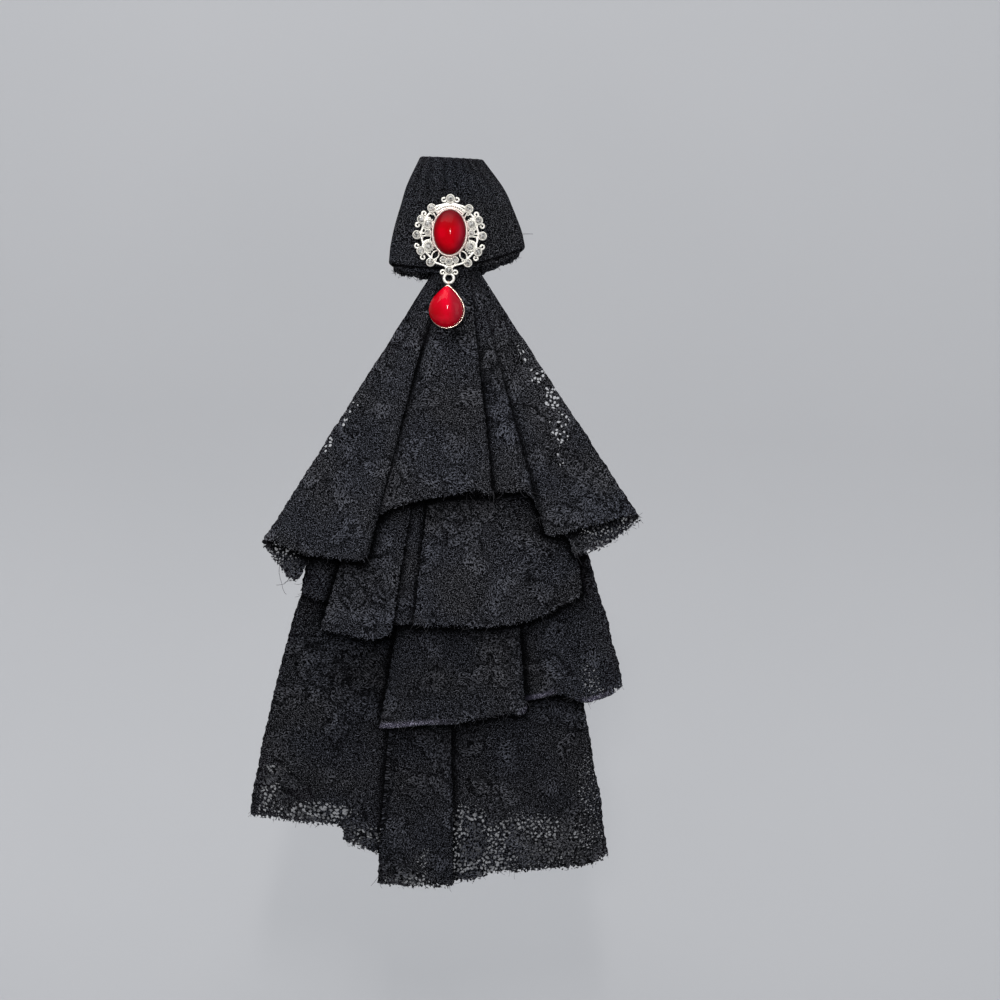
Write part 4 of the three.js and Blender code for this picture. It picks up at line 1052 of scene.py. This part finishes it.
# Crest over the cabochon: a row of grains between two wires
for half_size, thick in (((9.55, 11.45), 0.33), ((8.1, 10.35), 0.28)):
    frame_cast.wire([
        (*on_oval(half_size, 90 + a * 4.2, 0.55), 1.2) for a in range(-10, 11)
    ], thick, 7)
for a in range(-7, 8):
    x, y = on_oval((8.85, 10.95), 90 + a * 5.6, 0.55)
    frame_cast.grain(x, y, 1.3, 0.36, 8)
for a in (-2.6, -1.7, -0.85, 0, 0.85, 1.7, 2.6):
    frame_cast.grain(a, -8.95 - 0.1 * abs(a), 1.3, 0.3, 8)

# Neck, and the loop at the foot
for side in (-1, 1):
    frame_cast.wire([
        (side * (2.9 - 1.9 * k / 8), -10.9 - 2.4 * (k / 8) ** 0.7, 0.6) for k in range(9)
    ], 0.4, 7)
loop_middle = -17.45
frame_cast.wire([
    (1.95 * math.cos(a), loop_middle + 1.95 * math.sin(a), 0.5)
    for a in np.linspace(0, 2 * math.pi, 41)[:-1]
], 0.58, 10, closed=True)
filigree = frame_cast.piece("brooch_filigree", BROOCH_PLACE)

silver, silver_shader, silver_place = solid_material("bright_silver", 0.3, 0.4)
silver_wear = silver_place.noise(900.0, 3.0)
silver_cast = silver_place.noise(260.0)
recess = (silver_place.axis(1) + PLATE_BACK).smooth(-0.0012, 0.0004)
silver_x = silver_place.axis(0) * 1000
silver_z = silver_place.axis(2) * 1000 + 10.6
by_stone = ((silver_x * silver_x) * 0.0188 + (silver_z * silver_z) * 0.0104).maths("SQRT")
blush = (1 - by_stone.smooth(1.0, 1.1)) * 0.26
silver_tone = silver_cast.mix((0.95, 0.93, 0.86, 1), (0.78, 0.76, 0.7, 1))
silver_tone = blush.mix(silver_tone, (1.0, 0.55, 0.5, 1))
feed(silver_shader, Base_Color=(recess * 0.8).mix(silver_tone, (0.16, 0.15, 0.13, 1)))
feed(silver_shader, Roughness=silver_wear * 0.22 + recess * 0.2 + 0.12)
silver_dents = {"Strength": 0.25, "Distance": 0.0001, "Height": silver_cast}
feed(silver_shader, Normal=silver_place.node("Bump", None, silver_dents))
hand_over(filigree, silver, "jabot", "silver_metal", "brooch_frame")

# Clear stones
# Round cut glass stones with foiled backs, twelve in the outer cups and nine in the inner.


def cut_stone(casting, outline, heights, count, table=0.56, crown=0.8):
    """A brilliant cut over an outline: table, stars, kites, girdle facets and a flat back."""
    back, low, girdle, high, top = heights

    def ring(share, height, number, offset):
        return [(*outline(share, (k + offset) / number), height) for k in range(number)]

    corners = ring(table, top, count, 0) + ring(crown, high, count, 0.5)
    corners += ring(1, girdle, 2 * count, 0) + ring(1, low, 2 * count, 0) + ring(0.72, back, 2 * count, 0)
    star, edge, under, base = count, 2 * count, 4 * count, 6 * count
    faces = [tuple(range(count))]
    for k in range(count):
        n = (k + 1) % count
        faces.append((k, star + k, n))
        before = star + (k - 1) % count
        faces.append((k, before, edge + 2 * k, star + k))
        faces.append((star + k, edge + 2 * k, edge + 2 * k + 1))
        faces.append((star + k, edge + 2 * k + 1, edge + (2 * k + 2) % (2 * count)))
    for k in range(2 * count):
        n = (k + 1) % (2 * count)
        faces.append((edge + k, under + k, under + n, edge + n))
        faces.append((under + k, base + k, base + n, under + n))
    faces.append(tuple(base + k for k in range(2 * count - 1, -1, -1)))
    casting.add(corners, faces)


def round_outline(x, y, radius):
    def outline(share, turn):
        angle = 2 * math.pi * turn
        return x + radius * share * math.cos(angle), y + radius * share * math.sin(angle)
    return outline


crystal, crystal_shader, crystal_place = solid_material("clear_crystal", 0.07)
sparkle_cells = crystal_place.node("TexVoronoi", None, {"Vector": crystal_place, "Scale": 1100.0})
foil_and_sparkle = crystal_place.noise(700.0, 1.0)
# The foil's tone, with bright and dark spots painted at random in place of the sparkle of the facets.
foil_tone_and_painted_sparkle = (sparkle_cells * 0.8 + foil_and_sparkle * 0.5).smooth(0.3, 0.85)
feed(crystal_shader, Base_Color=foil_tone_and_painted_sparkle.mix((0.05, 0.05, 0.045, 1), (0.74, 0.73, 0.69, 1)))
feed(crystal_shader, Metallic=foil_and_sparkle * 0.3 + 0.4)
for name, places, nodes in (
    ("rim_stones", outer_places, "rim_stone_%02d"),
    ("inner_stones", inner_places, "inner_stone_%02d"),
):
    stones = Casting()
    for k, (x, y, radius) in enumerate(places):
        cut_stone(stones, round_outline(x, y, radius), (1.1, 1.7, 1.8, 2.25, 2.55), STONE_SIDES)
        # Each stone leans its own way, so that no two tables mirror the same thing
        lean_x = 0.08 * math.cos(2.4 * k + 0.6)
        lean_y = 0.08 * math.sin(2.4 * k + 0.6)
        for i in range(-8 * STONE_SIDES, 0):
            cx, cy, height = stones.corners[i]
            stones.corners[i] = (cx, cy, height + lean_x * (cx - x) + lean_y * (cy - y))
    cut = stones.piece(name, BROOCH_PLACE, smooth=False)
    hand_over(cut, crystal, "jabot", "clear_stone", *[nodes % (k + 1) for k in range(len(places))])

# Cabochon
# A polished oval of red glass, domed in front and foiled behind, held by the bezel.

OVAL_HALF = (6.5, 9.0)
DOME_SIDES = 96
dome = Casting()
dome_rings = []
for k in range(25):
    angle = math.pi / 2 * k / 24.4
    dome_rings.append((OVAL_HALF[0] * math.cos(angle) ** 0.9, 2.3 + 4.0 * math.sin(angle)))
turn = np.linspace(0, 2 * np.pi, DOME_SIDES, endpoint=False)
dome.band([
    np.stack([
        radius * np.cos(turn),
        CABOCHON_RISE + radius * OVAL_HALF[1] / OVAL_HALF[0] * np.sin(turn),
        np.full(DOME_SIDES, height),
    ], -1)
    for radius, height in [(5.6, 1.3), (OVAL_HALF[0], 1.35), *dome_rings]
])
cabochon = dome.piece("red_cabochon", BROOCH_PLACE)
red, red_shader, red_place = solid_material("red_glass", 0.06)
red_shader.inputs["Specular IOR Level"].default_value = 0.045
offset_x = red_place.axis(0) * 154
offset_z = (red_place.axis(2) + OVAL_HEIGHT) * 111
edge_way = (offset_x * offset_x + offset_z * offset_z).maths("SQRT")
# Painted light and shade on the red glass: darker towards the rim and the top, and a duller crimson haze
# on the right as a painted reflection.
painted_rim_shade = edge_way.smooth(0.55, 1.02)
painted_top_shade = offset_z.smooth(0.0, 0.85)
painted_right_haze = offset_x.smooth(0.1, 0.9)
body = red_place.noise(190.0).smooth(0.3, 0.7).mix((0.40, 0.0, 0.003, 1), (0.53, 0.0, 0.008, 1))
body = (painted_right_haze * 0.75).mix(body, (0.25, 0.009, 0.026, 1))
body = (painted_top_shade * 0.82).mix(body, (0.14, 0.008, 0.011, 1))
body = (painted_rim_shade * 0.7).mix(body, (0.07, 0.0, 0.003, 1))
feed(red_shader, Base_Color=body)
hand_over(cabochon, red, "jabot", "red_stone", "cabochon")

# Drop
# A small rose-coloured ring through the loop carries a pear of red cut glass in a thin cup
# setting, with an eye behind its tip.

RING_MIDDLE = (0.548, -15.6, -31.391)
DROP_PLACE = (Matrix.Translation((0.000548, -0.0156, -0.032891))
              @ Matrix.Rotation(math.radians(90), 4, "X")
              @ Matrix.Scale(MM, 4))
rose, rose_shader, rose_place = solid_material("rose_metal", 0.22, 1.0)
rose_worn = rose_place.noise(500.0, 3.0)
feed(rose_shader, Base_Color=rose_worn.mix((0.66, 0.47, 0.38, 1), (0.76, 0.62, 0.53, 1)))
feed(rose_shader, Roughness=rose_worn * 0.2 + 0.12)

RING_RADIUS = 1.5
RING_WIRE = 0.3
link = Casting()
ring_turn = np.linspace(0, 2 * np.pi, 48, endpoint=False)
link_path = [RING_RADIUS * np.cos(ring_turn), RING_RADIUS * np.sin(ring_turn), np.zeros(48)]
link.wire(np.stack(link_path, axis=-1), RING_WIRE, 12, closed=True)
ring_place = (Matrix.Translation(Vector(RING_MIDDLE) * MM)
              @ Matrix.Rotation(math.radians(90), 4, "Y")
              @ Matrix.Scale(MM, 4))
ring_link = link.piece("ring_link", ring_place)
hand_over(ring_link, rose, "ring", "rose_metal", "jump_ring")

PEAR_RADIUS, PEAR_LENGTH, PEAR_TIP = 7.2, 17.6, 1.05
pear_middle = PEAR_TIP - PEAR_LENGTH + PEAR_RADIUS


def pear_outline(inset):
    """A pear that stands on its foot, drawn in by an inset; turn 0 is the tip."""
    def outline(share, turn):
        angle = 2 * math.pi * turn
        radius = PEAR_RADIUS - inset
        narrow = 1 - 0.56 * max(0, math.cos(angle)) ** 2.2
        height = PEAR_TIP - inset * 1.7 - pear_middle if math.cos(angle) > 0 else radius
        x = radius * math.sin(angle) * narrow
        return x * share, pear_middle + height * math.cos(angle) * share
    return outline


def pear_ring(inset, height, count=72):
    return [(*pear_outline(inset)(1, k / count), height) for k in range(count)]


setting = Casting()
setting.band([
    pear_ring(inset, height) for inset, height in (
        (0.9, 2.1), (0.25, 2.12), (0.02, 2.4), (0, 4.0), (0.08, 4.35),
        (0.28, 4.5), (0.5, 4.42), (0.6, 4.1), (0.62, 2.65), (1.5, 2.6),
    )
])

# The eye behind the tip, and the stem that joins it to the back of the cup
EYE_RADIUS = 1.2
EYE_WIRE = 0.3
eye_middle = RING_WIRE + 0.15 - 0.9
setting.wire([
    (EYE_RADIUS * math.cos(a), eye_middle + EYE_RADIUS * math.sin(a), 0)
    for a in np.linspace(0, 2 * math.pi, 41)[:-1]
], EYE_WIRE, 10, closed=True)
stem_path = [(0, eye_middle - EYE_RADIUS, z) for z in (-0.05, 0.6, 1.2, 1.8, 2.35)]
setting.wire(stem_path, (EYE_WIRE, 0.36, 0.42, 0.5, 0.6), 10)
drop_cup = setting.piece("drop_cup", DROP_PLACE)
hand_over(drop_cup, rose, "drop", "rose_metal", "drop_setting")

pear_cut = Casting()
cut_stone(pear_cut, pear_outline(0.36), (2.9, 4.5, 4.75, 6.5, 7.45), 12, 0.5, 0.78)
pear_cut.corners = [(x - 0.4, y + 0.1, z) for x, y, z in pear_cut.corners]
pear = pear_cut.piece("pear_crystal", DROP_PLACE)
pear_red, pear_shader, pear_place = solid_material("red_crystal", 0.07)
pear_shader.inputs["Specular IOR Level"].default_value = 0.12
pear_x = pear_place.axis(0) * 1000
pear_z = pear_place.axis(2) * 1000
# Painted light and shade on the red glass: a darker left side, a duller crimson right side and a painted
# bright streak down the upper middle.
painted_right_shade = (pear_x + (pear_z + 43) * 0.35).smooth(0.2, 4.5)
painted_left_shade = 1 - pear_x.smooth(-6.6, -1.5)
painted_streak_way = (pear_x + (pear_z + 40) * 0.1).maths("ABSOLUTE")
painted_streak = (1 - painted_streak_way.smooth(0.3, 3.4)) * pear_z.smooth(-48, -38)
pear_red_and_painted_light = pear_place.noise(190.0).smooth(0.35, 0.65).mix((0.43, 0.0, 0.006, 1), (0.53, 0.0, 0.013, 1))
pear_red_and_painted_light = (painted_left_shade * 0.75).mix(pear_red_and_painted_light, (0.31, 0.0, 0.002, 1))
pear_red_and_painted_light = (painted_right_shade * 0.75).mix(pear_red_and_painted_light, (0.25, 0.009, 0.02, 1))
pear_red_and_painted_light = (painted_streak * 0.8).mix(pear_red_and_painted_light, (0.72, 0.0, 0.02, 1))
feed(pear_shader, Base_Color=pear_red_and_painted_light)
hand_over(pear, pear_red, "drop", "red_stone", "drop_stone")

low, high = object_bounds()
